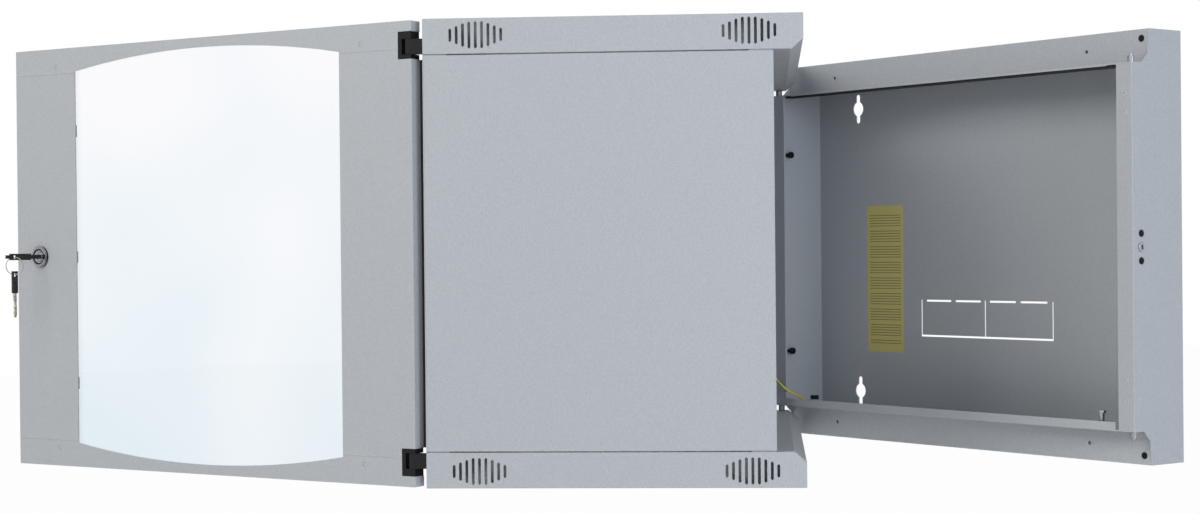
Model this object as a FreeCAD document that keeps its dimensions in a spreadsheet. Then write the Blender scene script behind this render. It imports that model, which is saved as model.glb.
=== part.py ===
import FreeCAD, Part
import math
import os
import re
import Sketcher

# Wall mount network cabinet, 9U, swing-out body. Millimetres, +Z up.
# The origin is the centre of the four keyholes on the wall plane; the cabinet stands out along -Y.
# Body pieces are drawn with the body closed on the wall section, door pieces with the door closed too,
# and each piece's Placement swings it out to the shown pose.

doc = FreeCAD.newDocument("wall_cabinet")
sheet = doc.addObject("Spreadsheet::Sheet", "sizes")

SIZES = {
    # Overall
    "width": 600,
    "height": 500,
    "sheet": 1.5,
    # Wall section
    "section_drop": 13,
    "section_depth": 85,
    "flange_setback": 55,
    "tongue_drop": 90,
    "slant_rise": 11,
    "slant_start": 2,
    "slant_end": 17,
    "jamb_width": 22,
    "lip_height": 10,
    "lip_inset": 27,
    "hem_inset": 36,
    "hem_drop": 0.8,
    "keyhole_spacing_x": 448,
    "keyhole_spacing_z": 372.5,
    "keyhole_diameter": 19,
    "keyhole_slot": 7,
    "keyhole_tall": 38,
    "knockout_width": 109.5,
    "knockout_low": -110.5,
    "knockout_high": -64.5,
    "knockout_slit": 2.4,
    "dash_length": 43.5,
    "dash_inner": 29,
    "dash_outer": 79.5,
    "flange_hole_side_inset": 89,
    "flange_hole_edge_inset": 19.5,
    "flange_hole": 4,
    "corner_screw_side_inset": 10.6,
    "corner_screw_edge_inset": 10.4,
    "screw_shank": 4,
    "screw_head": 8,
    "screw_clearance": 0.2,
    "corner_head": 0.7,
    "seal_depth": 12,
    "seal_height": 6.5,
    "seal_inset": 2,
    "label_x": -175,
    "label_z": -38,
    "label_width": 66,
    "label_height": 191,
    "label_thick": 0.3,
    "knob_inset": 22,
    "knob_high_z": 127,
    "knob_low_z": -133.5,
    "knob_diameter": 8.8,
    "knob_stand": 12,
    "knob_head": 4.5,
    "lug_height": 17,
    "lug_width": 14,
    "post_side_inset": 60,
    "post_inset": 16,
    "post_height": 19.5,
    "post_diameter": 7,
    "post_flange": 11,
    "stud_height": 13.5,
    "stud_diameter": 5,
    "nut_across": 10,
    "nut_height": 5,
    "washer_diameter": 12,
    # Swing pins
    "pin_side_inset": 6,
    "pin_inset": 6.2,
    "pin_diameter": 4.5,
    "pin_reach": 10,
    "pin_fit": 0.1,
    "collar_diameter": 8,
    "collar_play": 0.1,
    "pin_notch": 8,
    # Side latch
    "latch_setback": 71,
    "latch_reach": 24,
    "latch_plug": 10,
    "latch_stub": 6,
    "latch_screw_z": 15.25,
    "bracket_thick": 3,
    "bracket_half_width": 9,
    "bracket_half_height": 22,
    "hook_inset": 27,
    "hook_thick": 2.5,
    "hook_half_width": 7,
    "hook_tip": 31,
    "keeper_pin": 5,
    "keeper_length": 6,
    "keeper_head": 9,
    "latch_sleeve": 16,
    "hook_play": 1,
    "latch_window_low": -10,
    "latch_window_high": 32,
    # Cabinet body
    "body_depth": 404,
    "rear_gap": 2,
    "flank": 38,
    "cover_plate_drop": 37.5,
    "cover_plate_reach": 54,
    "rear_flange": 27,
    "rear_slant": 13,
    "front_return": 20,
    "panel_front": 1.3,
    "panel_rear_inset": 31.5,
    "panel_gap": 0.5,
    "post_width": 30,
    "post_return": 25,
    "rear_post_inset": 32.5,
    "vent_centre": 57,
    "vent_drop": 18,
    "vent_pitch": 6.8,
    "vent_width": 3,
    "vent_height_first": 14.5,
    "vent_height_second": 20,
    "vent_height_third": 25.4,
    "vent_height_middle": 29.3,
    "rail_hole_inset": 67.45,
    "rail_inner_edge": 7.05,
    "rail_outer_edge": 14.45,
    "front_rail": 61,
    "rear_rail_inset": 63,
    "rail_depth": 18,
    "rack_unit": 44.45,
    "rack_margin": 48,
    "rail_hole": 9.5,
    "rail_hole_edge": 6.35,
    "depth_rail_height": 25,
    "depth_rail_drop": 72.5,
    "bolt_diameter": 6,
    "bolt_head": 4,
    "bolt_across": 10,
    "bolt_setback": 9,
    "body_stud_rise": 100,
    "body_stud_inset": 49,
    "body_stud_length": 14,
    # Door
    "door_gap": 2,
    "door_depth": 16,
    "door_edge_gap": 1,
    "door_free_gap": 2,
    "window_hinge_margin": 98,
    "window_lock_margin": 99,
    "window_side_drop": 29.4,
    "window_apex_drop": 12.2,
    "strip_gap": 2.1,
    "block_tall": 29.4,
    "block_drop": 12.6,
    "block_width": 17.4,
    "block_tail": 6.6,
    "notch_rise": 13,
    "notch_tall": 16.7,
    "notch_reach": 12.5,
    "knuckle_tall": 16.2,
    "door_pin_inset": 4.5,
    "door_pin_y": 14.5,
    "door_pin": 4,
    "rivet_station": 68,
    "rivet_drop": 23,
    "rivet_diameter": 5,
    "rivet_head": 8,
    "tab_near": 25,
    "tab_far": 90,
    "tab_reach": 20,
    "glass": 4,
    "gasket": 1,
    "glass_overlap": 5,
    "clip_height": 14,
    "clip_drop": 70.6,
    "clip_foot": 14.5,
    "clip_tongue": 2,
    "clip_screw": 3,
    "clip_head": 6,
    # Lock and keys
    "lock_inset": 39.3,
    "lock_z": 1,
    "escutcheon": 25.5,
    "escutcheon_stand": 4,
    "barrel": 18,
    "barrel_rear": 4,
    "lock_nut_across": 24,
    "plug": 12,
    "plug_stand": 0.3,
    "running_fit": 0.1,
    "cam_rear": 5,
    "cam_thick": 2.5,
    "cam_half_width": 7,
    "cam_tip": 26,
    "blade_thick": 2,
    "blade_tall": 4.4,
    "blade_length": 25,
    "blade_play": 0.4,
    "key_thick": 3,
    "neck_tall": 4.8,
    "neck_length": 12,
    "grip_tall": 7.6,
    "grip_end": 44,
    "key_length": 50,
    "tip_tall": 4.2,
    "key_hole": 5,
    "key_hole_station": 37,
    "ring_radius": 10.3,
    "ring_wire": 0.7,
    "ring_offset": 0.4,
    "ring_yaw": 32,
    "spare_top": 4.5,
    "spare_head": 26,
    "spare_blade": 29,
    # Earth wire
    "wire_radius": 1.5,
    # Shown pose
    "body_rest": 41,
    "door_rest": 62.4,
}

# Places that follow from the sizes above, kept in the sheet as formulas
DERIVED = {
    "section_height": "height-section_drop",
    "tongue_height": "height-tongue_drop",
    "slant_back": "flange_setback+slant_start",
    "slant_front": "section_depth-slant_end",
    "lip_right": "width/2-lip_inset",
    "hem_half": "width/2-hem_inset",
    "flange_hole_x": "width/2-flange_hole_side_inset",
    "flange_hole_z": "section_height/2-flange_hole_edge_inset",
    "corner_screw_x": "width/2-corner_screw_side_inset",
    "corner_screw_z": "section_height/2-corner_screw_edge_inset",
    "knob_y": "-section_depth+knob_inset",
    "post_x": "width/2-post_side_inset",
    "post_y": "-section_depth+post_inset",
    "pin_x": "width/2-pin_side_inset",
    "hook_x": "width/2-hook_inset",
    "sleeve_end": "hook_x+hook_thick+hook_play",
    "panel_rear": "body_depth-panel_rear_inset",
    "rear_post_rear": "body_depth-rear_post_inset",
    "rail_hole_spacing": "width-2*rail_hole_inset",
    "rail_inner": "rail_hole_spacing/2-rail_inner_edge",
    "rail_outer": "rail_hole_spacing/2+rail_outer_edge",
    "rear_rail": "body_depth-rear_rail_inset",
    "rack_units": "floor((height-2*rack_margin)/rack_unit)",
    "rail_hole_step": "rack_unit/2-rail_hole_edge",
    "depth_rail_z": "height/2-depth_rail_drop",
    "body_stud_z": "-height/2+body_stud_rise",
    "body_stud_y": "body_depth-body_stud_inset",
    "window_side_z": "height/2-window_side_drop",
    "window_apex_z": "height/2-window_apex_drop",
    "strip_half": "window_side_z-strip_gap",
    "block_high": "height/2-block_drop",
    "block_low": "block_high-block_tall",
    "notch_z": "block_low+notch_rise",
    "rivet_z": "height/2-rivet_drop",
    "clip_z": "window_side_z-clip_drop",
}

# Stations along Y: the body's front and rear planes, the tongue front and the door's front face
BODY_REAR = "(-flange_setback-rear_gap)"
BODY_FRONT = "(-flange_setback-rear_gap-body_depth)"
TONGUE_FRONT = "(-section_depth)"
DOOR_FRONT = "(-flange_setback-rear_gap-body_depth-door_gap-door_depth)"
DOOR_REAR = "(-flange_setback-rear_gap-body_depth-door_gap)"
PIN_Y = "(-section_depth+pin_inset)"
DOOR_PIN_X = "(width/2-door_edge_gap-door_pin_inset)"
DOOR_PIN_Y = "(-flange_setback-rear_gap-body_depth-door_pin_y)"
DOOR_RIGHT = "(width/2-door_edge_gap)"
DOOR_LEFT = "(-width/2+door_free_gap)"
WINDOW_RIGHT = "(width/2-door_edge_gap-window_hinge_margin)"
WINDOW_LEFT = "(-width/2+door_free_gap+window_lock_margin)"
LOCK_X = "(-width/2+door_free_gap+lock_inset)"
KEY_FACE = "(-flange_setback-rear_gap-body_depth-door_gap-door_depth-escutcheon_stand-plug_stand)"
INNER_SIDE = "(width/2-sheet)"
COVER_TOP = "(height/2)"
COVER_PLATE = "(height/2-cover_plate_drop)"

# Route of the earth wire at the shown pose: shelf stud, over the lip, round the jamb, body stud
WIRE_ROUTE = (
    (-243.0, -69.0, -198.3),
    (-252.0, -69.5, -198.3),
    (-262.0, -72.0, -194.5),
    (-269.5, -78.5, -189.5),
    (-274.5, -86.0, -184.5),
    (-277.5, -96.0, -176.0),
    (-277.0, -105.0, -167.0),
    (-281.0, -113.0, -158.5),
    (-285.0, -118.5, -153.0),
)

pieces = []


def load_sizes():
    rows = [(name, str(value)) for name, value in SIZES.items()]
    rows += [(name, "=" + formula) for name, formula in DERIVED.items()]
    for row, (name, content) in enumerate(rows, start=1):
        sheet.set("A%d" % row, name)
        sheet.set("B%d" % row, content)
        sheet.setAlias("B%d" % row, name)
    doc.recompute()


def bound(text):
    """The expression text with every size name read from the sheet."""
    def owned(match):
        word = match.group()
        return "sizes." + word if word in SIZES or word in DERIVED else word
    return re.sub(r"[a-z][a-z_0-9]*", owned, str(text))


def size(text):
    return float(sheet.evalExpression(bound(text)))


def new_piece(name):
    piece = doc.addObject("PartDesign::Body", name)
    piece.Label = name
    piece.AllowCompound = True
    pieces.append(piece)
    return piece


# Outlines: each is a closed loop of points, an arc or a circle, given as expressions

def poly(points):
    return ("poly", points)


def rect(left, low, right, high):
    return poly([(left, low), (right, low), (right, high), (left, high)])


def circle(across, up, diameter):
    return ("circle", (across, up, "(%s)/2" % diameter))


def stadium(across, up, diameter, tall):
    """An upright slot with round ends."""
    return ("stadium", (across, up, "(%s)/2" % diameter, "((%s)-(%s))/2" % (tall, diameter)))


def many_sided(across, up, flats, sides):
    """A regular outline with this many sides and this width across its flats."""
    step = 360 / sides
    corner = "(%s)/2/cos(%g)" % (flats, step / 2)
    turns = [step / 2 + index * step for index in range(sides)]
    return poly([("%s+%s*cos(%g)" % (across, corner, turn), "%s+%s*sin(%g)" % (up, corner, turn))
                 for turn in turns])


def hexagon(across, up, flats):
    return many_sided(across, up, flats, 6)


def octagon(across, up, flats):
    """Eight sides stand for the round outline of a small fastener."""
    return many_sided(across, up, flats, 8)


def vent_slot(across, up, wide, tall):
    """An upright slot that narrows to a point at each end."""
    half, side, end = "(%s)/2" % wide, "((%s)/2-(%s)/2)" % (tall, wide), "(%s)/2" % tall
    return poly([("%s+%s" % (across, half), "%s-%s" % (up, side)), ("%s+%s" % (across, half), "%s+%s" % (up, side)),
                 (across, "%s+%s" % (up, end)), ("%s-%s" % (across, half), "%s+%s" % (up, side)),
                 ("%s-%s" % (across, half), "%s-%s" % (up, side)), (across, "%s-%s" % (up, end))])


def arched(points, arcs):
    """A loop whose sides named in arcs are arcs with that radius and way of bulging."""
    return ("arched", (points, arcs))


class Outline:
    """Draws loops into a sketch and binds every corner, centre and radius to the sheet."""

    def __init__(self, sketch, loops):
        self.sketch = sketch
        self.rules = []
        for kind, data in loops:
            if kind == "poly":
                self.draw_sides(data, {})
            elif kind == "arched":
                self.draw_sides(*data)
            elif kind == "circle":
                self.draw_circle(*data)
            else:
                self.draw_stadium(*data)
        self.bind()

    def bind(self):
        """Adds all rules in one step, then ties each measured one to its expression."""
        self.sketch.addConstraint([rule for rule, text in self.rules])
        for index, (rule, text) in enumerate(self.rules):
            if text:
                self.sketch.setExpression("Constraints[%d]" % index, bound(text))

    def join(self, kind, *ends):
        self.rules.append((Sketcher.Constraint(kind, *ends), None))

    def pin_point(self, geometry, place, across, up):
        for kind, text in (("DistanceX", across), ("DistanceY", up)):
            self.rules.append((Sketcher.Constraint(kind, -1, 1, geometry, place, size(text)), text))

    def pin_radius(self, geometry, radius):
        self.rules.append((Sketcher.Constraint("Radius", geometry, size(radius)), radius))

    def draw_sides(self, points, arcs):
        corners = [FreeCAD.Vector(size(across), size(up), 0) for across, up in points]
        count = len(corners)
        sides = []
        for index, start in enumerate(corners):
            end = corners[(index + 1) % count]
            if index in arcs:
                sides.append(arc_side(start, end, size(arcs[index][0]), arcs[index][1]))
            else:
                sides.append(Part.LineSegment(start, end))
        first = self.sketch.addGeometry(sides, False)[0]
        ends = [arc_ends(index in arcs and arcs[index][1]) for index in range(count)]
        for index in range(count):
            following = (index + 1) % count
            self.join("Coincident", first + index, ends[index][1], first + following, ends[following][0])
        for index, (across, up) in enumerate(points):
            self.pin_point(first + index, ends[index][0], across, up)
            if index in arcs:
                self.pin_radius(first + index, arcs[index][0])

    def draw_circle(self, across, up, radius):
        centre = FreeCAD.Vector(size(across), size(up), 0)
        ring = self.sketch.addGeometry(Part.Circle(centre, FreeCAD.Vector(0, 0, 1), size(radius)), False)
        self.pin_point(ring, 3, across, up)
        self.pin_radius(ring, radius)

    def draw_stadium(self, across, up, radius, half):
        x, y, r, reach = size(across), size(up), size(radius), size(half)
        up_axis = FreeCAD.Vector(0, 0, 1)
        top = Part.ArcOfCircle(Part.Circle(FreeCAD.Vector(x, y + reach, 0), up_axis, r), 0, math.pi)
        low = Part.ArcOfCircle(Part.Circle(FreeCAD.Vector(x, y - reach, 0), up_axis, r), math.pi, 2 * math.pi)
        left = Part.LineSegment(FreeCAD.Vector(x - r, y + reach, 0), FreeCAD.Vector(x - r, y - reach, 0))
        right = Part.LineSegment(FreeCAD.Vector(x + r, y - reach, 0), FreeCAD.Vector(x + r, y + reach, 0))
        first = self.sketch.addGeometry([top, left, low, right], False)[0]
        for index in range(4):
            self.join("Tangent", first + index, 2, first + (index + 1) % 4, 1)
        self.pin_point(first, 3, across, "%s+%s" % (up, half))
        self.pin_point(first + 2, 3, across, "%s-(%s)" % (up, half))
        self.pin_radius(first, radius)


def arc_ends(bulge):
    """Start and end point numbers of a side; an arc drawn clockwise runs end to start."""
    return (2, 1) if bulge == "clockwise" else (1, 2)


def arc_side(start, end, radius, bulge):
    """A shallow arc from start to end with this radius, turning the way bulge says."""
    chord = end - start
    half = chord.Length / 2
    sag = radius - math.sqrt(radius * radius - half * half)
    normal = FreeCAD.Vector(chord.y, -chord.x, 0).normalize()
    if bulge == "clockwise":
        normal = -normal
    middle = (start + end) / 2 + normal * sag
    return Part.Arc(start, middle, end)


PLANES = {"XY": ("XY_Plane", 1), "XZ": ("XZ_Plane", -1), "YZ": ("YZ_Plane", 1)}


def new_sketch(piece, plane, loops, station):
    """A sketch on one of the piece's own planes, moved to a station along the world axis."""
    role, way = PLANES[plane]
    sketch = piece.newObject("Sketcher::SketchObject", piece.Name + "_sketch")
    origin_plane = next(item for item in piece.Origin.OriginFeatures if item.Role == role)
    sketch.AttachmentSupport = [(origin_plane, "")]
    sketch.MapMode = "FlatFace"
    sketch.setExpression(".AttachmentOffset.Base.z", bound("%d*(%s)" % (way, station)))
    Outline(sketch, loops)
    return sketch


def add(piece, plane, loops, start, end):
    """Material between two stations along the axis normal to the plane."""
    station = end if plane == "XZ" else start
    pad = piece.newObject("PartDesign::Pad", piece.Name + "_pad")
    pad.Profile = new_sketch(piece, plane, loops, station)
    pad.setExpression("Length", bound("(%s)-(%s)" % (end, start)))
    pad.Refine = True
    piece.Tip = pad
    return pad


def cut(piece, plane, loops, start, end):
    """A pocket between two stations along the axis normal to the plane."""
    station = start if plane == "XZ" else end
    pocket = piece.newObject("PartDesign::Pocket", piece.Name + "_pocket")
    pocket.Profile = new_sketch(piece, plane, loops, station)
    pocket.setExpression("Length", bound("(%s)-(%s)" % (end, start)))
    piece.Tip = pocket
    return pocket


def swing_base(angle):
    """Where a turn by angle about the swing pin puts the origin."""
    x, y = "(-pin_x)", PIN_Y
    return ("%s*(1-cos(%s))+%s*sin(%s)" % (x, angle, y, angle),
            "%s*(1-cos(%s))-%s*sin(%s)" % (y, angle, x, angle))


def on_body(piece):
    """Swings a piece with the cabinet body."""
    base = swing_base("-body_rest")
    place(piece, base, "-body_rest")


def on_door(piece):
    """Swings a piece with the body and then with the door on its moved hinge pin."""
    base = swing_base("-body_rest")
    pin_x = "(%s+%s*cos(body_rest)+%s*sin(body_rest))" % (base[0], DOOR_PIN_X, DOOR_PIN_Y)
    pin_y = "(%s-%s*sin(body_rest)+%s*cos(body_rest))" % (base[1], DOOR_PIN_X, DOOR_PIN_Y)
    turn = "(door_rest-body_rest)"
    place(piece, ("%s-%s*cos(%s)+%s*sin(%s)" % (pin_x, DOOR_PIN_X, turn, DOOR_PIN_Y, turn),
                  "%s-%s*sin(%s)-%s*cos(%s)" % (pin_y, DOOR_PIN_X, turn, DOOR_PIN_Y, turn)), turn)


def place(piece, base, angle):
    piece.setExpression(".Placement.Base.x", bound(base[0]))
    piece.setExpression(".Placement.Base.y", bound(base[1]))
    piece.setExpression(".Placement.Rotation.Angle", bound(angle))


def both(text):
    """The value on either side of the middle plane."""
    return (text, "-(%s)" % text)


def mirrored(points, side):
    return [("%s*(%s)" % (side, across), up) for across, up in points]


def span(side, near, far):
    """Near and far stations of one side, in rising order."""
    return (near, far) if side > 0 else ("-(%s)" % far, "-(%s)" % near)


# Wall section

def wall_back():
    """Back pan folded from one sheet, with keyholes, knock-outs, flanges and shelves."""
    piece = new_piece("wall_back")
    top, shelf = "section_height/2", "tongue_height/2"
    flange, front = "-flange_setback", TONGUE_FRONT
    add(piece, "YZ", [poly([
        (front, shelf), (flange, shelf), (flange, top), ("0", top),
        ("0", "-" + top), (flange, "-" + top), (flange, "-" + shelf), (front, "-" + shelf),
        (front, "-%s+sheet" % shelf), (flange + "+sheet", "-%s+sheet" % shelf),
        (flange + "+sheet", "-%s+sheet" % top), ("-sheet", "-%s+sheet" % top),
        ("-sheet", top + "-sheet"), (flange + "+sheet", top + "-sheet"),
        (flange + "+sheet", shelf + "-sheet"), (front, shelf + "-sheet"),
    ])], "-" + INNER_SIDE, INNER_SIDE)
    add(piece, "XZ", [rect("-hem_half", "tongue_height/2-sheet-hem_drop", "hem_half", "tongue_height/2-sheet")],
        front, front + "+sheet")
    add(piece, "XZ", [rect("-width/2+jamb_width+0.5", "-tongue_height/2+sheet", "lip_right",
                           "-tongue_height/2+lip_height")], front, front + "+sheet")
    keyholes = [(x, z) for x in both("keyhole_spacing_x/2") for z in both("keyhole_spacing_z/2")]
    cut(piece, "XZ", [circle(x, z, "keyhole_diameter") for x, z in keyholes], "-2*sheet", "sheet")
    cut(piece, "XZ", [stadium(x, z, "keyhole_slot", "keyhole_tall") for x, z in keyholes], "-2*sheet", "sheet")
    cut(piece, "XZ", knockout_loops(), "-2*sheet", "sheet")
    flange_holes = [octagon(x, z, "flange_hole") for x in both("flange_hole_x") for z in both("flange_hole_z")]
    corner_holes = [octagon(x, z, "screw_shank+screw_clearance")
                    for x in both("corner_screw_x") for z in both("corner_screw_z")]
    cut(piece, "XZ", flange_holes + corner_holes, "-flange_setback-sheet", "-flange_setback+2*sheet")
    cut(piece, "XY", [octagon(x, PIN_Y, "pin_diameter+pin_fit") for x in both("pin_x")],
        "-tongue_height/2-sheet", "tongue_height/2+sheet")


def knockout_loops():
    """Three upright slits joined by the bottom slit, and the four dashes along the top."""
    half, edge = "knockout_slit/2", "knockout_width"
    low, high = "knockout_low", "knockout_high"
    comb = poly([
        ("-%s-%s" % (edge, half), "%s-%s" % (low, half)), ("%s+%s" % (edge, half), "%s-%s" % (low, half)),
        ("%s+%s" % (edge, half), high), ("%s-%s" % (edge, half), high),
        ("%s-%s" % (edge, half), "%s+%s" % (low, half)), (half, "%s+%s" % (low, half)),
        (half, high), ("-" + half, high),
        ("-" + half, "%s+%s" % (low, half)), ("-%s+%s" % (edge, half), "%s+%s" % (low, half)),
        ("-%s+%s" % (edge, half), high), ("-%s-%s" % (edge, half), high),
    ])
    dashes = [rect("%s-dash_length/2" % x, high + "-knockout_slit", "%s+dash_length/2" % x, high)
              for middle in ("dash_inner", "dash_outer") for x in both(middle)]
    return [comb] + dashes


def wall_side(name, side):
    """Side wall with its slanted nose and the jamb return across the tongue front."""
    piece = new_piece(name)
    upper = [
        ("0", "section_height/2"), ("-flange_setback", "section_height/2"),
        ("-slant_back", "tongue_height/2+slant_rise"), ("-slant_front", "tongue_height/2"),
        (TONGUE_FRONT, "tongue_height/2"),
    ]
    lower = [(y, "-(%s)" % z) for y, z in reversed(upper)]
    add(piece, "YZ", [poly(upper + lower)], *span(side, INNER_SIDE, "width/2"))
    add(piece, "XZ", [poly(mirrored([
        ("width/2-jamb_width", "-tongue_height/2+sheet"), (INNER_SIDE, "-tongue_height/2+sheet"),
        (INNER_SIDE, "tongue_height/2-sheet"), ("width/2-jamb_width", "tongue_height/2-sheet"),
    ], side))], TONGUE_FRONT, TONGUE_FRONT + "+sheet")
    return piece


def wall_side_right():
    """The right side wall also has the holes of the side latch."""
    piece = wall_side("wall_side_right", 1)
    screws = [octagon("-latch_setback", z, "screw_shank+screw_clearance") for z in both("latch_screw_z")]
    cut(piece, "YZ", screws + [circle("-latch_setback", "0", "latch_plug+2*running_fit")],
        "width/2-2*sheet", "width/2+sheet")


def wall_side_left():
    """The left side wall also has the holes of the two knob screws."""
    piece = wall_side("wall_side_left", -1)
    cut(piece, "YZ", [octagon("knob_y", z, "screw_shank+screw_clearance") for z in ("knob_high_z", "knob_low_z")],
        "-width/2-sheet", "-width/2+2*sheet")


def seal_strip_top():
    """Foam seal under the top shelf."""
    piece = new_piece("seal_strip_top")
    half = "(width/2-jamb_width-seal_inset)"
    add(piece, "XY", [rect("-" + half, TONGUE_FRONT + "+seal_inset", half, TONGUE_FRONT + "+seal_inset+seal_depth")],
        "tongue_height/2-sheet-seal_height", "tongue_height/2-sheet")


def swing_pins():
    """Two hinge pins on the left and two register pins on the right, each with a flange and a collar."""
    piece = new_piece("swing_pins")
    shelf = "tongue_height/2"
    sites = [(x, PIN_Y) for x in both("pin_x")]
    flange = (shelf + "-3*sheet", shelf + "-sheet", octagon, "collar_diameter")
    shank = (shelf + "-sheet", shelf + "+pin_reach", circle, "pin_diameter")
    collar = (shelf, COVER_PLATE + "-collar_play", octagon, "collar_diameter")
    for way in (1, -1):
        for near, far, outline, diameter in (flange, shank, collar):
            add(piece, "XY", [outline(x, y, diameter) for x, y in sites], *span(way, near, far))


def flange_screws():
    """Black corner screws of the flanges, low enough for the body to swing past."""
    piece = new_piece("flange_screws")
    sites = [(x, z) for x in both("corner_screw_x") for z in both("corner_screw_z")]
    add(piece, "XZ", [octagon(x, z, "screw_head") for x, z in sites],
        "-flange_setback-corner_head", "-flange_setback")
    add(piece, "XZ", [octagon(x, z, "screw_shank") for x, z in sites], "-flange_setback", "-flange_setback+4*sheet")


def label_plate():
    """Plain yellow plate on the back panel."""
    piece = new_piece("label_plate")
    add(piece, "XZ", [rect("label_x-label_width/2", "label_z-label_height/2",
                           "label_x+label_width/2", "label_z+label_height/2")], "-sheet-label_thick", "-sheet")


def knob_plates():
    """Lug plates behind the knob screws on the left wall."""
    piece = new_piece("knob_plates")
    heights = ("knob_high_z", "knob_low_z")
    add(piece, "YZ", [rect("knob_y-lug_width/2", z + "-lug_height/2", "knob_y+lug_width/2", z + "+lug_height/2")
                      for z in heights], "-" + INNER_SIDE, "-width/2+2*sheet")
    cut(piece, "YZ", [octagon("knob_y", z, "screw_shank+screw_clearance") for z in heights],
        "-width/2", "-width/2+3*sheet")


def knob_screws():
    """Black knobs on stalks that stand off the left wall."""
    piece = new_piece("knob_screws")
    heights = ("knob_high_z", "knob_low_z")
    wall = "-" + INNER_SIDE
    add(piece, "YZ", [octagon("knob_y", z, "screw_shank") for z in heights], "-width/2", wall + "+knob_stand")
    add(piece, "YZ", [octagon("knob_y", z, "knob_diameter") for z in heights],
        wall + "+knob_stand-knob_head", wall + "+knob_stand")


def shelf_post():
    """Metal post with a flanged top on the bottom shelf."""
    piece = new_piece("shelf_post")
    shelf = "(-tongue_height/2+sheet)"
    add(piece, "XY", [octagon("post_x", "post_y", "post_diameter")], shelf, shelf + "+post_height")
    add(piece, "XY", [octagon("post_x", "post_y", "post_flange")], shelf, shelf + "+sheet")
    add(piece, "XY", [octagon("post_x", "post_y", "post_flange")],
        shelf + "+post_height-2*sheet", shelf + "+post_height")


def earth_stud():
    """Earth stud on the bottom shelf, with its washer."""
    piece = new_piece("earth_stud")
    shelf = "(-tongue_height/2+sheet)"
    add(piece, "XY", [octagon("-post_x", "post_y", "stud_diameter")], shelf, shelf + "+stud_height")
    add(piece, "XY", [octagon("-post_x", "post_y", "washer_diameter")],
        shelf + "+stud_height-nut_height-sheet", shelf + "+stud_height-nut_height")


def earth_nut():
    """Black nut over the washer of the earth stud."""
    piece = new_piece("earth_nut")
    top = "(-tongue_height/2+sheet+stud_height)"
    add(piece, "XY", [hexagon("-post_x", "post_y", "nut_across"),
                      octagon("-post_x", "post_y", "stud_diameter+screw_clearance")], top + "-nut_height", top)


def wire_section(centre, along, radius):
    """Six-sided section across the wire's start."""
    across = along.cross(FreeCAD.Vector(0, 0, 1)).normalize()
    up = across.cross(along).normalize()
    corners = [centre + (across * math.cos(turn) + up * math.sin(turn)) * radius
               for turn in (math.pi / 3 * index for index in range(6))]
    return Part.makePolygon(corners + corners[:1])


def earth_wire():
    """Earth wire between the two studs: straight runs joined by tangent arcs, with a six-sided section."""
    radius = size("wire_radius")
    points = [FreeCAD.Vector(*point) for point in WIRE_ROUTE]
    edges = []
    radii = []
    last = points[0]
    for index in range(1, len(points) - 1):
        before = (points[index - 1] - points[index])
        after = (points[index + 1] - points[index])
        turn = math.pi - before.getAngle(after)
        reach = 0.45 * min(before.Length, after.Length)
        radii.append(round(reach / math.tan(turn / 2), 1))
        entry = points[index] + before.normalize() * reach
        leave = points[index] + after.normalize() * reach
        inward = (entry + leave) / 2 - points[index]
        depth = radii[-1] / math.cos(turn / 2) - radii[-1]
        middle = points[index] + inward.normalize() * depth
        edges.append(Part.LineSegment(last, entry).toShape())
        edges.append(Part.Arc(entry, middle, leave).toShape())
        last = leave
    edges.append(Part.LineSegment(last, points[-1]).toShape())
    path = Part.Wire(edges)
    section = wire_section(points[0], points[1] - points[0], radius)
    print("earth wire radii", radii)
    piece = doc.addObject("Part::Feature", "earth_wire")
    piece.Label = "earth_wire"
    piece.Shape = path.makePipeShell([section], True, True)
    pieces.append(piece)


# Side latch

def latch_screws():
    """Black screws that hold the latch bracket to the right side wall."""
    piece = new_piece("latch_screws")
    heights = both("latch_screw_z")
    add(piece, "YZ", [octagon("-latch_setback", z, "screw_head") for z in heights], "width/2", "width/2+sheet")
    add(piece, "YZ", [octagon("-latch_setback", z, "screw_shank") for z in heights],
        INNER_SIDE + "-bracket_thick", "width/2")


def latch_bracket():
    """Plate and sleeve that carry the plug of the side latch."""
    piece = new_piece("latch_bracket")
    plate = INNER_SIDE + "-bracket_thick"
    add(piece, "YZ", [rect("-latch_setback-bracket_half_width", "-bracket_half_height",
                           "-latch_setback+bracket_half_width", "bracket_half_height")], plate, INNER_SIDE)
    add(piece, "YZ", [octagon("-latch_setback", "0", "latch_sleeve")], "sleeve_end", plate)
    cut(piece, "YZ", [circle("-latch_setback", "0", "latch_plug+2*running_fit")], "sleeve_end-1", "width/2")
    cut(piece, "YZ", [octagon("-latch_setback", z, "screw_shank+screw_clearance") for z in both("latch_screw_z")],
        plate + "-1", "width/2")


def latch_plug():
    """Turning plug of the side latch with a hexagon socket."""
    piece = new_piece("latch_plug")
    face = "width/2+sheet"
    add(piece, "YZ", [circle("-latch_setback", "0", "latch_plug")], "hook_x+hook_thick", face)
    add(piece, "YZ", [circle("-latch_setback", "0", "latch_stub")], "hook_x", "hook_x+hook_thick")
    cut(piece, "YZ", [hexagon("-latch_setback", "0", "latch_plug/2")], face + "-2*sheet", face)


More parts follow.
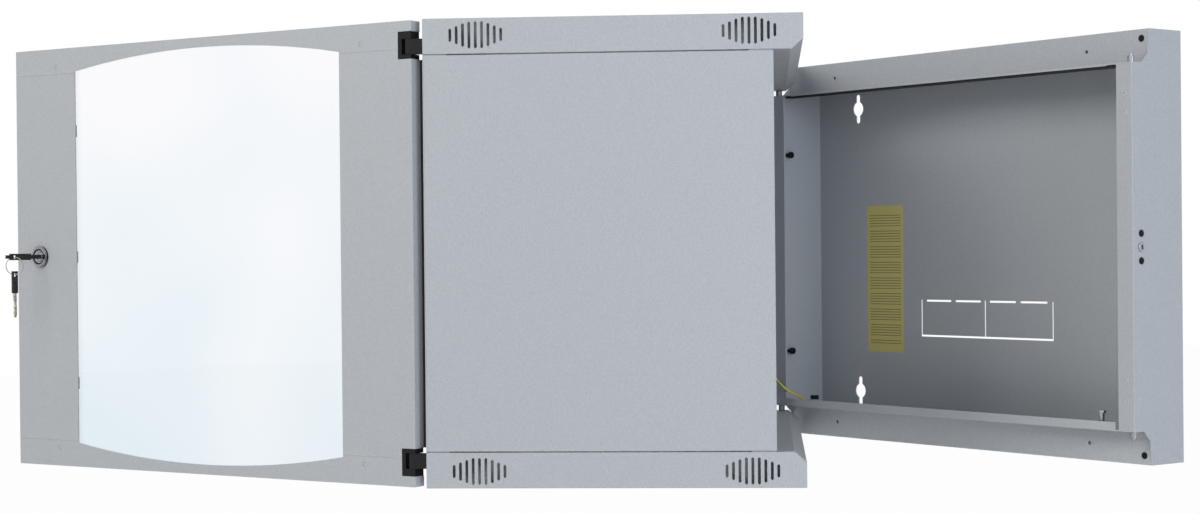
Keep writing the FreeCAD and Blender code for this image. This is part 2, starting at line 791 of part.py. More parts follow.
def latch_hook():
    """Hook plate that drops its notch over the keeper pin when the plug turns a quarter."""
    piece = new_piece("latch_hook")
    notch_low = "latch_reach-keeper_pin/2-1.3"
    notch_high = "latch_reach+keeper_pin/2+0.3"
    edge, back = "-latch_setback-hook_half_width", "-latch_setback+hook_half_width"
    notch_end = "-latch_setback+keeper_pin/2+0.5"
    add(piece, "YZ", [
        poly([(edge, "-hook_half_width"), (back, "-hook_half_width"), (back, "hook_tip"), (edge, "hook_tip"),
              (edge, notch_high), (notch_end, notch_high), (notch_end, notch_low), (edge, notch_low)]),
        circle("-latch_setback", "0", "latch_stub+running_fit"),
    ], "hook_x", "hook_x+hook_thick")


# Cabinet body

def cover(name, way):
    """Top or bottom cover: folded pan with flanks, rear plate for the pins and the vent slots."""
    piece = new_piece(name)
    flank = "(height/2-flank)"
    rear_low = "(height/2-rear_flange)"
    front, rear = BODY_FRONT, BODY_REAR
    outline = [
        (front, flank), (front, COVER_TOP), (rear, COVER_TOP), (rear, rear_low),
        (rear + "-rear_slant", COVER_PLATE), (rear + "-cover_plate_reach", COVER_PLATE),
        (rear + "-cover_plate_reach", COVER_PLATE + "+sheet"), (rear + "-rear_slant-sheet/3", COVER_PLATE + "+sheet"),
        (rear + "-sheet", rear_low + "+sheet/2"), (rear + "-sheet", COVER_TOP + "-sheet"),
        (front + "+sheet", COVER_TOP + "-sheet"), (front + "+sheet", flank + "+sheet"),
        (front + "+front_return", flank + "+sheet"), (front + "+front_return", flank),
    ]
    flank_outline = [(front, flank), (front, COVER_TOP), (rear, COVER_TOP), (rear, rear_low),
                     (rear + "-rear_slant", flank)]
    add(piece, "YZ", [poly([(y, "%d*(%s)" % (way, z)) for y, z in outline])], "-" + INNER_SIDE, INNER_SIDE)
    for side in (1, -1):
        add(piece, "YZ", [poly([(y, "%d*(%s)" % (way, z)) for y, z in flank_outline])],
            *span(side, INNER_SIDE, "width/2"))
    vents = []
    for centre in (front + "+vent_centre", rear + "-vent_centre"):
        vents += vent_slots(centre, "%d*(height/2-vent_drop)" % way)
    cut(piece, "YZ", vents, "-width/2-sheet", "width/2+sheet")
    low, high = span(way, COVER_PLATE + "-sheet", "tongue_height/2+pin_reach+sheet")
    cut(piece, "XY", [circle("-pin_x", PIN_Y, "pin_diameter+2*pin_fit")], low, high)
    cut(piece, "XY", [rect("pin_x-pin_notch/2", PIN_Y + "-pin_notch/2", "pin_x+pin_notch/2", rear + "+sheet")],
        low, high)
    on_body(piece)


def vent_slots(centre, up):
    """Nine upright slots whose heights make a lens."""
    heights = ["vent_height_first", "vent_height_second", "vent_height_third", "vent_height_middle"]
    heights = heights + ["vent_height_middle"] + heights[::-1]
    return [vent_slot("%s+%d*vent_pitch" % (centre, index - 4), up, "vent_width", tall)
            for index, tall in enumerate(heights)]


def side_panel(name, side):
    """Plain side panel between the covers."""
    piece = new_piece(name)
    half = "(height/2-flank-panel_gap)"
    add(piece, "YZ", [rect(BODY_FRONT + "+panel_front", "-" + half, BODY_FRONT + "+panel_rear", half)],
        *span(side, INNER_SIDE, "width/2"))
    on_body(piece)


def front_post(name, side):
    """Folded front post; the left one has the slot that the lock cam turns into."""
    piece = new_piece(name)
    front, deep = BODY_FRONT, BODY_FRONT + "+post_return"
    skin = BODY_FRONT + "+panel_front"
    inner = "(width/2-post_width)"
    profile = [
        ("width/2", front), (inner, front), (inner, deep), (inner + "+sheet", deep),
        (inner + "+sheet", skin), (INNER_SIDE + "-sheet", skin), (INNER_SIDE + "-sheet", deep),
        (INNER_SIDE, deep), (INNER_SIDE, skin), ("width/2", skin),
    ]
    add(piece, "XY", [poly(mirrored(profile, side))], "-(height/2-flank)", "height/2-flank")
    if side < 0:
        cut(piece, "YZ", [rect(BODY_FRONT + "+cam_rear-sheet", "lock_z-cam_half_width-2",
                               BODY_FRONT + "+cam_rear+cam_thick+sheet", "lock_z+cam_tip+2")],
            "-%s-sheet" % inner, "-%s+sheet" % inner)
    on_body(piece)


def rear_post(name, side):
    """Folded rear post; the right one has the window of the side latch beside its inner return."""
    piece = new_piece(name)
    rear = BODY_FRONT + "+rear_post_rear"
    deep = rear + "-post_return"
    inner = "(width/2-post_width)"
    profile = [
        (INNER_SIDE, rear), (inner, rear), (inner, deep), (inner + "+sheet", deep),
        (inner + "+sheet", rear + "-sheet"), (INNER_SIDE + "-sheet", rear + "-sheet"),
        (INNER_SIDE + "-sheet", deep), (INNER_SIDE, deep),
    ]
    add(piece, "XY", [poly(mirrored(profile, side))], "-" + COVER_PLATE, COVER_PLATE)
    if side > 0:
        window = rect(inner + "+sheet", "latch_window_low", inner + "+sheet+keeper_length", "latch_window_high")
        cut(piece, "XZ", [window], rear + "-sheet", rear + "+sheet")
    on_body(piece)


def latch_keeper():
    """Headed keeper pin of the side latch, riveted into the rear post's inner return."""
    piece = new_piece("latch_keeper")
    pin = "(-latch_setback-latch_reach)"
    return_face = "(width/2-post_width+sheet)"
    end = return_face + "+keeper_length"
    add(piece, "YZ", [octagon(pin, "0", "keeper_pin")], return_face, end)
    add(piece, "YZ", [octagon(pin, "0", "keeper_head")], end + "-sheet", end)
    on_body(piece)


def depth_rails(name, side):
    """Upper and lower tube from the front post to the rear post."""
    piece = new_piece(name)
    inner, outer = "rail_outer", "(width/2-post_width)"
    for way in (1, -1):
        low = "%d*depth_rail_z-depth_rail_height/2" % way
        high = "%d*depth_rail_z+depth_rail_height/2" % way
        left, right = span(side, inner, outer)
        add(piece, "XZ", [rect(left, low, right, high),
                          rect(left + "+sheet", low + "+sheet", right + "-sheet", high + "-sheet")],
            BODY_FRONT + "+2*sheet", BODY_FRONT + "+rear_post_rear-2*sheet")
    on_body(piece)


def mounting_rail(name, side, front):
    """Square-hole mounting rail: flange with the holes and a return bolted to the depth rails."""
    piece = new_piece(name)
    if front:
        face, inside = BODY_FRONT + "+front_rail", "+sheet"
        deep = face + "+rail_depth"
        bolt = face + "+bolt_setback"
    else:
        face, inside = BODY_FRONT + "+rear_rail", "-sheet"
        deep = face + "-rail_depth"
        bolt = face + "-bolt_setback"
    profile = [("rail_inner", face), ("rail_outer", face), ("rail_outer", deep),
               ("rail_outer-sheet", deep), ("rail_outer-sheet", face + inside), ("rail_inner", face + inside)]
    half = "(height/2-sheet)"
    add(piece, "XY", [poly(mirrored(profile, side))], "-" + half, half)
    base = "(-rack_unit*rack_units/2)"
    x = "%d*rail_hole_spacing/2" % side
    squares = [rect(x + "-rail_hole/2", z + "-rail_hole/2", x + "+rail_hole/2", z + "+rail_hole/2")
               for z in ("%s+rail_hole_edge+%d*rail_hole_step" % (base, step) for step in range(3))]
    start, end = (face, face + "+sheet") if front else (face + "-sheet", face)
    pocket = cut(piece, "XZ", squares, start + "-sheet/2", end + "+sheet/2")
    pattern = piece.newObject("PartDesign::LinearPattern", name + "_units")
    pattern.Originals = [pocket]
    pattern.Direction = (pocket.Profile[0], ["V_Axis"])
    pattern.setExpression("Length", bound("rack_unit*(rack_units-1)"))
    pattern.setExpression("Occurrences", bound("rack_units"))
    piece.Tip = pattern
    cut(piece, "YZ", [octagon(bolt, "%d*depth_rail_z" % way, "bolt_diameter+2*screw_clearance")
                      for way in (1, -1)], *span(side, "rail_outer-2*sheet", "rail_outer+sheet"))
    on_body(piece)


def rail_bolts():
    """Hexagon bolts of the mounting rails."""
    piece = new_piece("rail_bolts")
    stations = (BODY_FRONT + "+front_rail+bolt_setback", BODY_FRONT + "+rear_rail-bolt_setback")
    sites = [(y, "%d*depth_rail_z" % way) for y in stations for way in (1, -1)]
    for side in (1, -1):
        add(piece, "YZ", [hexagon(y, z, "bolt_across") for y, z in sites],
            *span(side, "rail_outer-sheet-bolt_head", "rail_outer-sheet"))
        add(piece, "YZ", [octagon(y, z, "bolt_diameter") for y, z in sites],
            *span(side, "rail_outer-sheet", "rail_outer"))
    on_body(piece)


def door_knuckle(name, way):
    """Body-side hinge knuckle: base plate on the front, arm and bored boss."""
    piece = new_piece(name)
    start, end = span(way, "notch_z-knuckle_tall/2", "notch_z+knuckle_tall/2")
    boss = "(2*door_pin_inset)"
    right = DOOR_PIN_X + "+door_pin_inset"
    add(piece, "XY", [rect(right + "-" + boss, DOOR_PIN_Y, right, BODY_FRONT)], start, end)
    add(piece, "XY", [rect(right + "-" + boss + "-6", BODY_FRONT + "-sheet", right, BODY_FRONT)], start, end)
    add(piece, "XY", [circle(DOOR_PIN_X, DOOR_PIN_Y, boss)], start, end)
    cut(piece, "XY", [circle(DOOR_PIN_X, DOOR_PIN_Y, "door_pin+2*running_fit")], start + "-1", end + "+1")
    on_body(piece)


def body_earth_stud():
    """Earth stud and nut on the left rear post."""
    piece = new_piece("body_earth_stud")
    post = "(-width/2+post_width)"
    y = BODY_FRONT + "+body_stud_y"
    add(piece, "YZ", [octagon(y, "body_stud_z", "stud_diameter")], post, post + "+body_stud_length")
    add(piece, "YZ", [hexagon(y, "body_stud_z", "nut_across")], post, post + "+nut_height")
    on_body(piece)


# Door

def door_strip_hinge_side():
    """Painted strip on the hinge side with its return and the tabs behind the rails."""
    piece = new_piece("door_strip_hinge_side")
    corner = DOOR_RIGHT + "-block_width"
    add(piece, "XZ", [poly([
        (WINDOW_RIGHT, "strip_half"), (WINDOW_RIGHT, "-strip_half"), (corner, "-strip_half"),
        (corner, "-block_low"), (DOOR_RIGHT, "-block_low"), (DOOR_RIGHT, "block_low"),
        (corner, "block_low"), (corner, "strip_half"),
    ])], DOOR_FRONT, DOOR_FRONT + "+sheet")
    add(piece, "XZ", [rect(DOOR_RIGHT + "-sheet", "-block_low", DOOR_RIGHT, "block_low")], DOOR_FRONT, DOOR_REAR)
    strip_tabs(piece, DOOR_RIGHT + "-tab_far", DOOR_RIGHT + "-tab_near", DOOR_RIGHT + "-rivet_station")
    on_door(piece)


def door_strip_lock_side():
    """Painted strip on the lock side with its return, tabs and the lock hole."""
    piece = new_piece("door_strip_lock_side")
    add(piece, "XZ", [rect(DOOR_LEFT, "-strip_half", WINDOW_LEFT, "strip_half")], DOOR_FRONT, DOOR_FRONT + "+sheet")
    add(piece, "XZ", [rect(DOOR_LEFT, "-strip_half", DOOR_LEFT + "+sheet", "strip_half")], DOOR_FRONT, DOOR_REAR)
    strip_tabs(piece, DOOR_LEFT + "+tab_near", DOOR_LEFT + "+tab_far", DOOR_LEFT + "+rivet_station")
    cut(piece, "XZ", [circle(LOCK_X, "lock_z", "barrel+screw_clearance")],
        DOOR_FRONT + "-sheet", DOOR_FRONT + "+2*sheet")
    on_door(piece)


def strip_tabs(piece, left, right, rivet):
    """Tabs that reach behind the door rails, with the rivet holes."""
    tabs = [rect(left, low, right, high)
            for low, high in (("strip_half-tab_reach", "rivet_z+rivet_head"),
                              ("-rivet_z-rivet_head", "-strip_half+tab_reach"))]
    add(piece, "XZ", tabs, DOOR_FRONT + "+sheet", DOOR_FRONT + "+2*sheet")
    cut(piece, "XZ", [octagon(rivet, z, "rivet_diameter+screw_clearance") for z in both("rivet_z")],
        DOOR_FRONT + "+sheet/2", DOOR_FRONT + "+3*sheet")


def window_arc(offset):
    """Half width, corner height and radius of the window grown by an offset."""
    half = "((%s-%s)/2)" % (WINDOW_RIGHT, WINDOW_LEFT)
    sag = "(window_apex_z-window_side_z)"
    radius = "((%s^2+%s^2)/(2*%s))" % (half, sag, sag)
    grown = "(%s+%s)" % (radius, offset)
    corner = "(window_apex_z-%s+sqrt(%s^2-(%s+%s)^2))" % (radius, grown, half, offset)
    return "(%s+%s)" % (half, offset), corner, grown


WINDOW_MIDDLE = "((%s+%s)/2)" % (WINDOW_RIGHT, WINDOW_LEFT)


def window_loop(offset):
    """The window outline: two upright sides and two shallow arcs."""
    half, corner, radius = window_arc(offset)
    right, left = "%s+%s" % (WINDOW_MIDDLE, half), "%s-%s" % (WINDOW_MIDDLE, half)
    points = [(right, "-" + corner), (right, corner), (left, corner), (left, "-" + corner)]
    return arched(points, {1: (radius, "anticlockwise"), 3: (radius, "anticlockwise")})


def door_rail(name, way):
    """Full-width rail whose inner edge is the window's arc, with its returns."""
    piece = new_piece(name)
    edge = "(height/2-door_edge_gap)"
    corner = DOOR_RIGHT + "-block_width"
    radius = window_arc("0")[2]
    points = [
        (DOOR_LEFT, "strip_half"), (DOOR_LEFT, edge), (DOOR_RIGHT, edge), (DOOR_RIGHT, "block_high"),
        (corner, "block_high"), (corner, "strip_half"), (WINDOW_RIGHT, "strip_half"),
        (WINDOW_RIGHT, "window_side_z"), (WINDOW_LEFT, "window_side_z"), (WINDOW_LEFT, "strip_half"),
    ]
    bulge = "anticlockwise" if way > 0 else "clockwise"
    loop = arched([(x, "%d*(%s)" % (way, z)) for x, z in points], {7: (radius, bulge)})
    add(piece, "XZ", [loop], DOOR_FRONT, DOOR_FRONT + "+sheet")
    for left, low, right in ((DOOR_LEFT, edge + "-sheet", DOOR_RIGHT),
                             (DOOR_LEFT, "strip_half", DOOR_LEFT + "+sheet"),
                             (DOOR_RIGHT + "-sheet", "block_high", DOOR_RIGHT)):
        add(piece, "XZ", [poly([(left, "%d*(%s)" % (way, low)), (right, "%d*(%s)" % (way, low)),
                                (right, "%d*%s" % (way, edge)), (left, "%d*%s" % (way, edge))])],
            DOOR_FRONT, DOOR_REAR)
    cut(piece, "XZ", [octagon(x, "%d*rivet_z" % way, "rivet_diameter+screw_clearance")
                      for x in (DOOR_RIGHT + "-rivet_station", DOOR_LEFT + "+rivet_station")],
        DOOR_FRONT + "-sheet", DOOR_FRONT + "+2*sheet")
    on_door(piece)


def glass_gasket():
    """Thin seal between the door's sheet and the glass."""
    piece = new_piece("glass_gasket")
    add(piece, "XZ", [window_loop("glass_overlap"), window_loop("gasket")],
        DOOR_FRONT + "+sheet", DOOR_FRONT + "+sheet+gasket")
    on_door(piece)


def door_glass():
    """Clear pane behind the window."""
    piece = new_piece("door_glass")
    add(piece, "XZ", [window_loop("glass_overlap")],
        DOOR_FRONT + "+sheet+gasket", DOOR_FRONT + "+sheet+gasket+glass")
    on_door(piece)


CLIP_HEIGHTS = ("-clip_z", "0", "clip_z")


def clip_sites():
    """Inner foot edge and outward direction of the clips on either side of the glass."""
    return ((WINDOW_RIGHT + "+glass_overlap+0.5", 1), (WINDOW_LEFT + "-glass_overlap-0.5", -1))


def glass_clips():
    """Six clips that hold the glass from behind."""
    piece = new_piece("glass_clips")
    seat = DOOR_FRONT + "+sheet"
    glass = seat + "+gasket+glass"
    for edge, side in clip_sites():
        profile = [("clip_foot", seat), ("0", seat), ("0", glass), ("-clip_tongue", glass),
                   ("-clip_tongue", glass + "+sheet"), ("sheet", glass + "+sheet"),
                   ("sheet", seat + "+sheet"), ("clip_foot", seat + "+sheet")]
        loop = poly([("%s+%d*(%s)" % (edge, side, x), y) for x, y in profile])
        for z in CLIP_HEIGHTS:
            add(piece, "XY", [loop], z + "-clip_height/2", z + "+clip_height/2")
        cut(piece, "XZ", [octagon("%s+%d*clip_foot/2" % (edge, side), z, "clip_screw+screw_clearance")
                          for z in CLIP_HEIGHTS], seat, seat + "+sheet")
    on_door(piece)


def clip_screws():
    """Screws of the glass clips."""
    piece = new_piece("clip_screws")
    seat = DOOR_FRONT + "+sheet"
    sites = [("%s+%d*clip_foot/2" % (edge, side), z) for edge, side in clip_sites() for z in CLIP_HEIGHTS]
    add(piece, "XZ", [octagon(x, z, "clip_screw") for x, z in sites], seat, seat + "+sheet")
    add(piece, "XZ", [octagon(x, z, "clip_head") for x, z in sites], seat + "+sheet", seat + "+2*sheet")
    on_door(piece)


def door_rivets():
    """Rivets that join the rails to the strips."""
    piece = new_piece("door_rivets")
    sites = [(x, z) for x in (DOOR_RIGHT + "-rivet_station", DOOR_LEFT + "+rivet_station")
             for z in both("rivet_z")]
    add(piece, "XZ", [octagon(x, z, "rivet_diameter") for x, z in sites],
        DOOR_FRONT + "+screw_clearance", DOOR_FRONT + "+2*sheet")
    add(piece, "XZ", [octagon(x, z, "rivet_head") for x, z in sites],
        DOOR_FRONT + "+2*sheet", DOOR_FRONT + "+3*sheet")
    on_door(piece)


def hinge_block(name, way, blind_low):
    """Black corner block that holds the door's hinge pin around the knuckle."""
    piece = new_piece(name)
    left = DOOR_RIGHT + "-block_width"
    rear = DOOR_REAR + "-door_gap/2"
    start, end = span(way, "block_low", "block_high")
    add(piece, "XY", [poly([
        (DOOR_RIGHT, DOOR_FRONT), (DOOR_RIGHT, rear), (left, rear), (left, DOOR_FRONT + "+3*sheet"),
        (left + "-block_tail", DOOR_FRONT + "+3*sheet"), (left + "-block_tail", DOOR_FRONT + "+sheet"),
        (left, DOOR_FRONT + "+sheet"), (left, DOOR_FRONT),
    ])], start, end)
    low, high = span(way, "notch_z-notch_tall/2", "notch_z+notch_tall/2")
    cut(piece, "XY", [rect(DOOR_RIGHT + "-notch_reach", DOOR_FRONT + "-1", DOOR_RIGHT + "+1", rear + "+1")],
        low, high)
    cut(piece, "XY", [circle(DOOR_PIN_X, DOOR_PIN_Y, "door_pin+running_fit")], start + "+" + blind_low, end)
    on_door(piece)


def door_hinge_pins():
    """Hinge pins of the door, standing on the blind ends of their holes."""
    piece = new_piece("door_hinge_pins")
    for start, end in (("block_low+1", "block_high-0.4"), ("-block_high+1", "-block_low-0.4")):
        add(piece, "XY", [circle(DOOR_PIN_X, DOOR_PIN_Y, "door_pin")], start, end)
    on_door(piece)


# Lock, keys and ring

def lock_body():
    """Chrome cylinder body with its escutcheon and the bore of the plug."""
    piece = new_piece("lock_body")
    add(piece, "XZ", [circle(LOCK_X, "lock_z", "barrel")], DOOR_FRONT, BODY_FRONT + "+barrel_rear")
    add(piece, "XZ", [circle(LOCK_X, "lock_z", "escutcheon")], DOOR_FRONT + "-escutcheon_stand", DOOR_FRONT)
    cut(piece, "XZ", [circle(LOCK_X, "lock_z", "plug+2*running_fit")],
        DOOR_FRONT + "-2*escutcheon_stand", BODY_FRONT + "+2*barrel_rear")
    on_door(piece)


def lock_nut():
    """Nut that clamps the lock to the door."""
    piece = new_piece("lock_nut")
    bore = many_sided(LOCK_X, "lock_z", "barrel+screw_clearance", 24)
    add(piece, "XZ", [hexagon(LOCK_X, "lock_z", "lock_nut_across"), bore],
        DOOR_FRONT + "+sheet", DOOR_FRONT + "+sheet+escutcheon_stand")
    on_door(piece)


def lock_plug():
    """Turning plug with its keyway and the hole of the cam screw."""
    piece = new_piece("lock_plug")
    rear = BODY_FRONT + "+cam_rear"
    add(piece, "XZ", [circle(LOCK_X, "lock_z", "plug")], KEY_FACE, rear)
    cut(piece, "XZ", [rect(LOCK_X + "-blade_thick/2-blade_play/2", "lock_z-blade_tall/2-blade_play/2",
                           LOCK_X + "+blade_thick/2+blade_play/2", "lock_z+blade_tall/2+blade_play/2")],
        KEY_FACE + "-1", KEY_FACE + "+blade_length+blade_play")
    cut(piece, "XZ", [octagon(LOCK_X, "lock_z", "clip_screw+screw_clearance")], rear + "-1", rear + "+1")
    on_door(piece)


def lock_cam():
    """Cam arm behind the lock, upright when unlocked."""
    piece = new_piece("lock_cam")
    add(piece, "XZ", [
        rect(LOCK_X + "-cam_half_width", "lock_z-cam_half_width", LOCK_X + "+cam_half_width", "lock_z+cam_tip"),
        octagon(LOCK_X, "lock_z", "clip_screw+screw_clearance"),
    ], BODY_FRONT + "+cam_rear", BODY_FRONT + "+cam_rear+cam_thick")
    on_door(piece)


def cam_screw():
    """Screw that fixes the cam to the plug."""
    piece = new_piece("cam_screw")
    rear = BODY_FRONT + "+cam_rear"
    add(piece, "XZ", [octagon(LOCK_X, "lock_z", "clip_screw")], rear + "-1", rear + "+cam_thick")
    add(piece, "XZ", [octagon(LOCK_X, "lock_z", "clip_head")], rear + "+cam_thick", rear + "+cam_thick+sheet")
    on_door(piece)


def key_blade():
    """Blade of the key inside the keyway."""
    piece = new_piece("key_blade")
    add(piece, "XZ", [rect(LOCK_X + "-blade_thick/2", "lock_z-blade_tall/2",
                           LOCK_X + "+blade_thick/2", "lock_z+blade_tall/2")],
        KEY_FACE + "-blade_play/2", KEY_FACE + "+blade_length")
    on_door(piece)


def key_head():
    """Black key head: neck, grip and narrow tip, with the ring's hole."""
    piece = new_piece("key_head")
    face = KEY_FACE + "-blade_play/2"
    upper = [(face, "neck_tall/2"), (face + "-neck_length", "neck_tall/2"), (face + "-neck_length", "grip_tall/2"),
             (face + "-grip_end", "grip_tall/2"), (face + "-grip_end", "tip_tall/2"),
             (face + "-key_length", "tip_tall/2")]
    outline = [(y, "lock_z+" + z) for y, z in upper] + [(y, "lock_z-" + z) for y, z in reversed(upper)]
    add(piece, "YZ", [poly(outline), circle(face + "-key_hole_station", "lock_z", "key_hole")],
        LOCK_X + "-key_thick/2", LOCK_X + "+key_thick/2")
    on_door(piece)


RING_Y = KEY_FACE + "-blade_play/2-key_hole_station"
RING_Z = "(lock_z-ring_offset-ring_radius)"


def key_ring():
    """Ring hanging from the key head, turned aside from the key's flat."""
    piece = new_piece("key_ring")
    sketch = new_sketch(piece, "XZ", [circle("0", "0", "2*(ring_radius+ring_wire)"),
                                      circle("0", "0", "2*(ring_radius-ring_wire)")], "0")
    sketch.setExpression(".AttachmentOffset.Base.x", bound(LOCK_X))
    sketch.setExpression(".AttachmentOffset.Base.y", bound(RING_Z))
    sketch.setExpression(".AttachmentOffset.Base.z", bound("-(%s)" % RING_Y))
    sketch.AttachmentOffset = FreeCAD.Placement(sketch.AttachmentOffset.Base,
                                                FreeCAD.Rotation(FreeCAD.Vector(0, 1, 0), size("ring_yaw")))
    pad = piece.newObject("PartDesign::Pad", "key_ring_pad")
    pad.Profile = sketch
    pad.setExpression("Length", bound("2*ring_wire"))
    pad.Midplane = True
    piece.Tip = pad
    on_door(piece)


def spare_key_head():
    """Black head of the spare key hanging on the ring."""
    piece = new_piece("spare_key_head")
    hole = "(%s-ring_radius-ring_offset)" % RING_Z
    add(piece, "YZ", [
        rect(RING_Y + "-grip_tall/2", hole + "+spare_top-spare_head", RING_Y + "+grip_tall/2", hole + "+spare_top"),
        circle(RING_Y, hole, "key_hole"),
    ], LOCK_X + "-key_thick/2", LOCK_X + "+key_thick/2")
    on_door(piece)


def spare_key_blade():
    """Blade of the spare key, pointing down."""
    piece = new_piece("spare_key_blade")
    low = "(%s-ring_radius-ring_offset+spare_top-spare_head)" % RING_Z
    add(piece, "YZ", [rect(RING_Y + "-blade_tall/2", low + "-spare_blade", RING_Y + "+blade_tall/2", low)],
        LOCK_X + "-blade_thick/2", LOCK_X + "+blade_thick/2")
    on_door(piece)


def build():
    load_sizes()
    for make in (wall_back, wall_side_left, wall_side_right, seal_strip_top, swing_pins, flange_screws,
                 label_plate, knob_plates, knob_screws, shelf_post, earth_stud, earth_nut, earth_wire,
                 latch_screws, latch_bracket, latch_plug, latch_hook):
        make()
    cover("top_cover", 1)
    cover("bottom_cover", -1)
    for word, side in (("left", -1), ("right", 1)):
        side_panel("side_panel_" + word, side)
        front_post("front_post_" + word, side)
        rear_post("rear_post_" + word, side)
        depth_rails("depth_rails_" + word, side)
        mounting_rail("mounting_rail_front_" + word, side, True)
        mounting_rail("mounting_rail_rear_" + word, side, False)
    for word, way in (("top", 1), ("bottom", -1)):
        door_knuckle("door_knuckle_" + word, way)
        door_rail("door_rail_" + word, way)
    hinge_block("hinge_block_top", 1, "1")
    hinge_block("hinge_block_bottom", -1, "1")
    for make in (rail_bolts, latch_keeper, body_earth_stud, door_strip_hinge_side, door_strip_lock_side,
                 glass_gasket, door_glass, glass_clips, clip_screws, door_rivets, door_hinge_pins,
                 lock_body, lock_nut, lock_plug, lock_cam, cam_screw, key_blade, key_head, key_ring,
                 spare_key_head, spare_key_blade):
        make()
    doc.recompute()


def check_and_write():
    for item in doc.Objects:
        if "Invalid" in item.State or "Error" in item.State:
            raise RuntimeError("%s failed: %s" % (item.Name, item.State))
    for piece in pieces:
        if piece.Shape.isNull() or not piece.Shape.isValid() or not piece.Shape.Solids:
            raise RuntimeError("%s has no valid solid" % piece.Label)
    os.makedirs("parts", exist_ok=True)
    for piece in pieces:
        piece.Shape.exportStep("parts/%s.step" % piece.Label)
    print("pieces", len(pieces))


build()
check_and_write()
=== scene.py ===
import math

import bmesh
import bpy
from mathutils import Matrix, Vector


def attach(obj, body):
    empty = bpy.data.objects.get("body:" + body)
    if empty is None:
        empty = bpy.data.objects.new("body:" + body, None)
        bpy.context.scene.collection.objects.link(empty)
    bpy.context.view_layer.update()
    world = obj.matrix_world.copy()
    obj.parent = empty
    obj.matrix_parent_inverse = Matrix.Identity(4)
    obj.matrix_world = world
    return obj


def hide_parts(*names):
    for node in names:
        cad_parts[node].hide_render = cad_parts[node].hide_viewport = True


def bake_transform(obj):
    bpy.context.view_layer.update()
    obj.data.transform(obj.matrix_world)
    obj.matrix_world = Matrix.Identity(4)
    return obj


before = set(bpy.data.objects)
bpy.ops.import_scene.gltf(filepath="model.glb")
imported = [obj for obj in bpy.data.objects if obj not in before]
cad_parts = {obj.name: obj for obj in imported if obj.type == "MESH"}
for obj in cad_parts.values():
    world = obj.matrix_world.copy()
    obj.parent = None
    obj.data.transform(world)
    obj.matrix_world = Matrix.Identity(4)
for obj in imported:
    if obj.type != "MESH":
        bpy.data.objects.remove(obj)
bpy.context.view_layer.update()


# Wall section, folded steel
# A shallow pan of 1.5 mm steel sheet that hangs on the wall, with two welded side walls.
# Cut and folded on a press brake, spot-welded, then powder-coated light grey all over.

def linear(text):
    """An sRGB hex value as the linear colour that a shader takes."""
    channels = [int(text[place:place + 2], 16) / 255 for place in (1, 3, 5)]
    return [value / 12.92 if value <= 0.04045 else ((value + 0.055) / 1.055) ** 2.4 for value in channels] + [1.0]


def add_node(tree, kind, settings, links):
    """Adds a node, sets its sockets and properties by name, and links outputs to its sockets."""
    node = tree.nodes.new(kind)
    for name, value in settings.items():
        if isinstance(name, int) or name in node.inputs:
            node.inputs[name].default_value = value
        else:
            setattr(node, name, value)
    for socket, source in links.items():
        tree.links.new(source, node.inputs[socket])
    return node


def start_material(name):
    material = bpy.data.materials.new(name)
    material.use_nodes = True
    tree = material.node_tree
    place = add_node(tree, "ShaderNodeTexCoord", {}, {}).outputs["Object"]
    return material, tree, tree.nodes["Principled BSDF"], place


def two_tones(tree, pattern, dark, light, start=0.35, end=0.65):
    """A pattern's low and high places in two colours, blended between."""
    tones = add_node(tree, "ShaderNodeValToRGB", {}, {"Fac": pattern})
    first, last = tones.color_ramp.elements
    first.position, first.color = start, linear(dark)
    last.position, last.color = end, linear(light)
    return tones.outputs["Color"]


def finish_surface(material_parts, dark, light, grain, gloss, relief):
    """Colour, gloss and relief from noise; grain and relief are in millimetres."""
    material, tree, shader, place = material_parts
    fine = add_node(tree, "ShaderNodeTexNoise", {"Scale": 1000 / grain, "Detail": 3.0}, {"Vector": place})
    broad = add_node(tree, "ShaderNodeTexNoise", {"Scale": 1000 / (25 * grain), "Detail": 3.0}, {"Vector": place})
    tree.links.new(two_tones(tree, fine.outputs["Fac"], dark, light), shader.inputs["Base Color"])
    wear = add_node(tree, "ShaderNodeMapRange", {"From Min": 0.3, "From Max": 0.7, "To Min": gloss[0],
                                                 "To Max": gloss[1]}, {"Value": broad.outputs["Fac"]})
    tree.links.new(wear.outputs["Result"], shader.inputs["Roughness"])
    bump = add_node(tree, "ShaderNodeBump", {"Strength": 0.35, "Distance": relief / 1000},
                    {"Height": fine.outputs["Fac"]})
    tree.links.new(bump.outputs["Normal"], shader.inputs["Normal"])
    return material


# Polyester powder coat, sprayed and baked: an even light grey with a fine orange-peel sparkle.
# The grain is about 0.5 mm on the real sheet, drawn at 1.8 mm so that it shows at this distance.
powder_coat = finish_surface(start_material("light_grey_powder_coat"), "#aaaeb3", "#b4b8bc", 1.8, (0.42, 0.54), 0.05)

SHEET = 0.0015


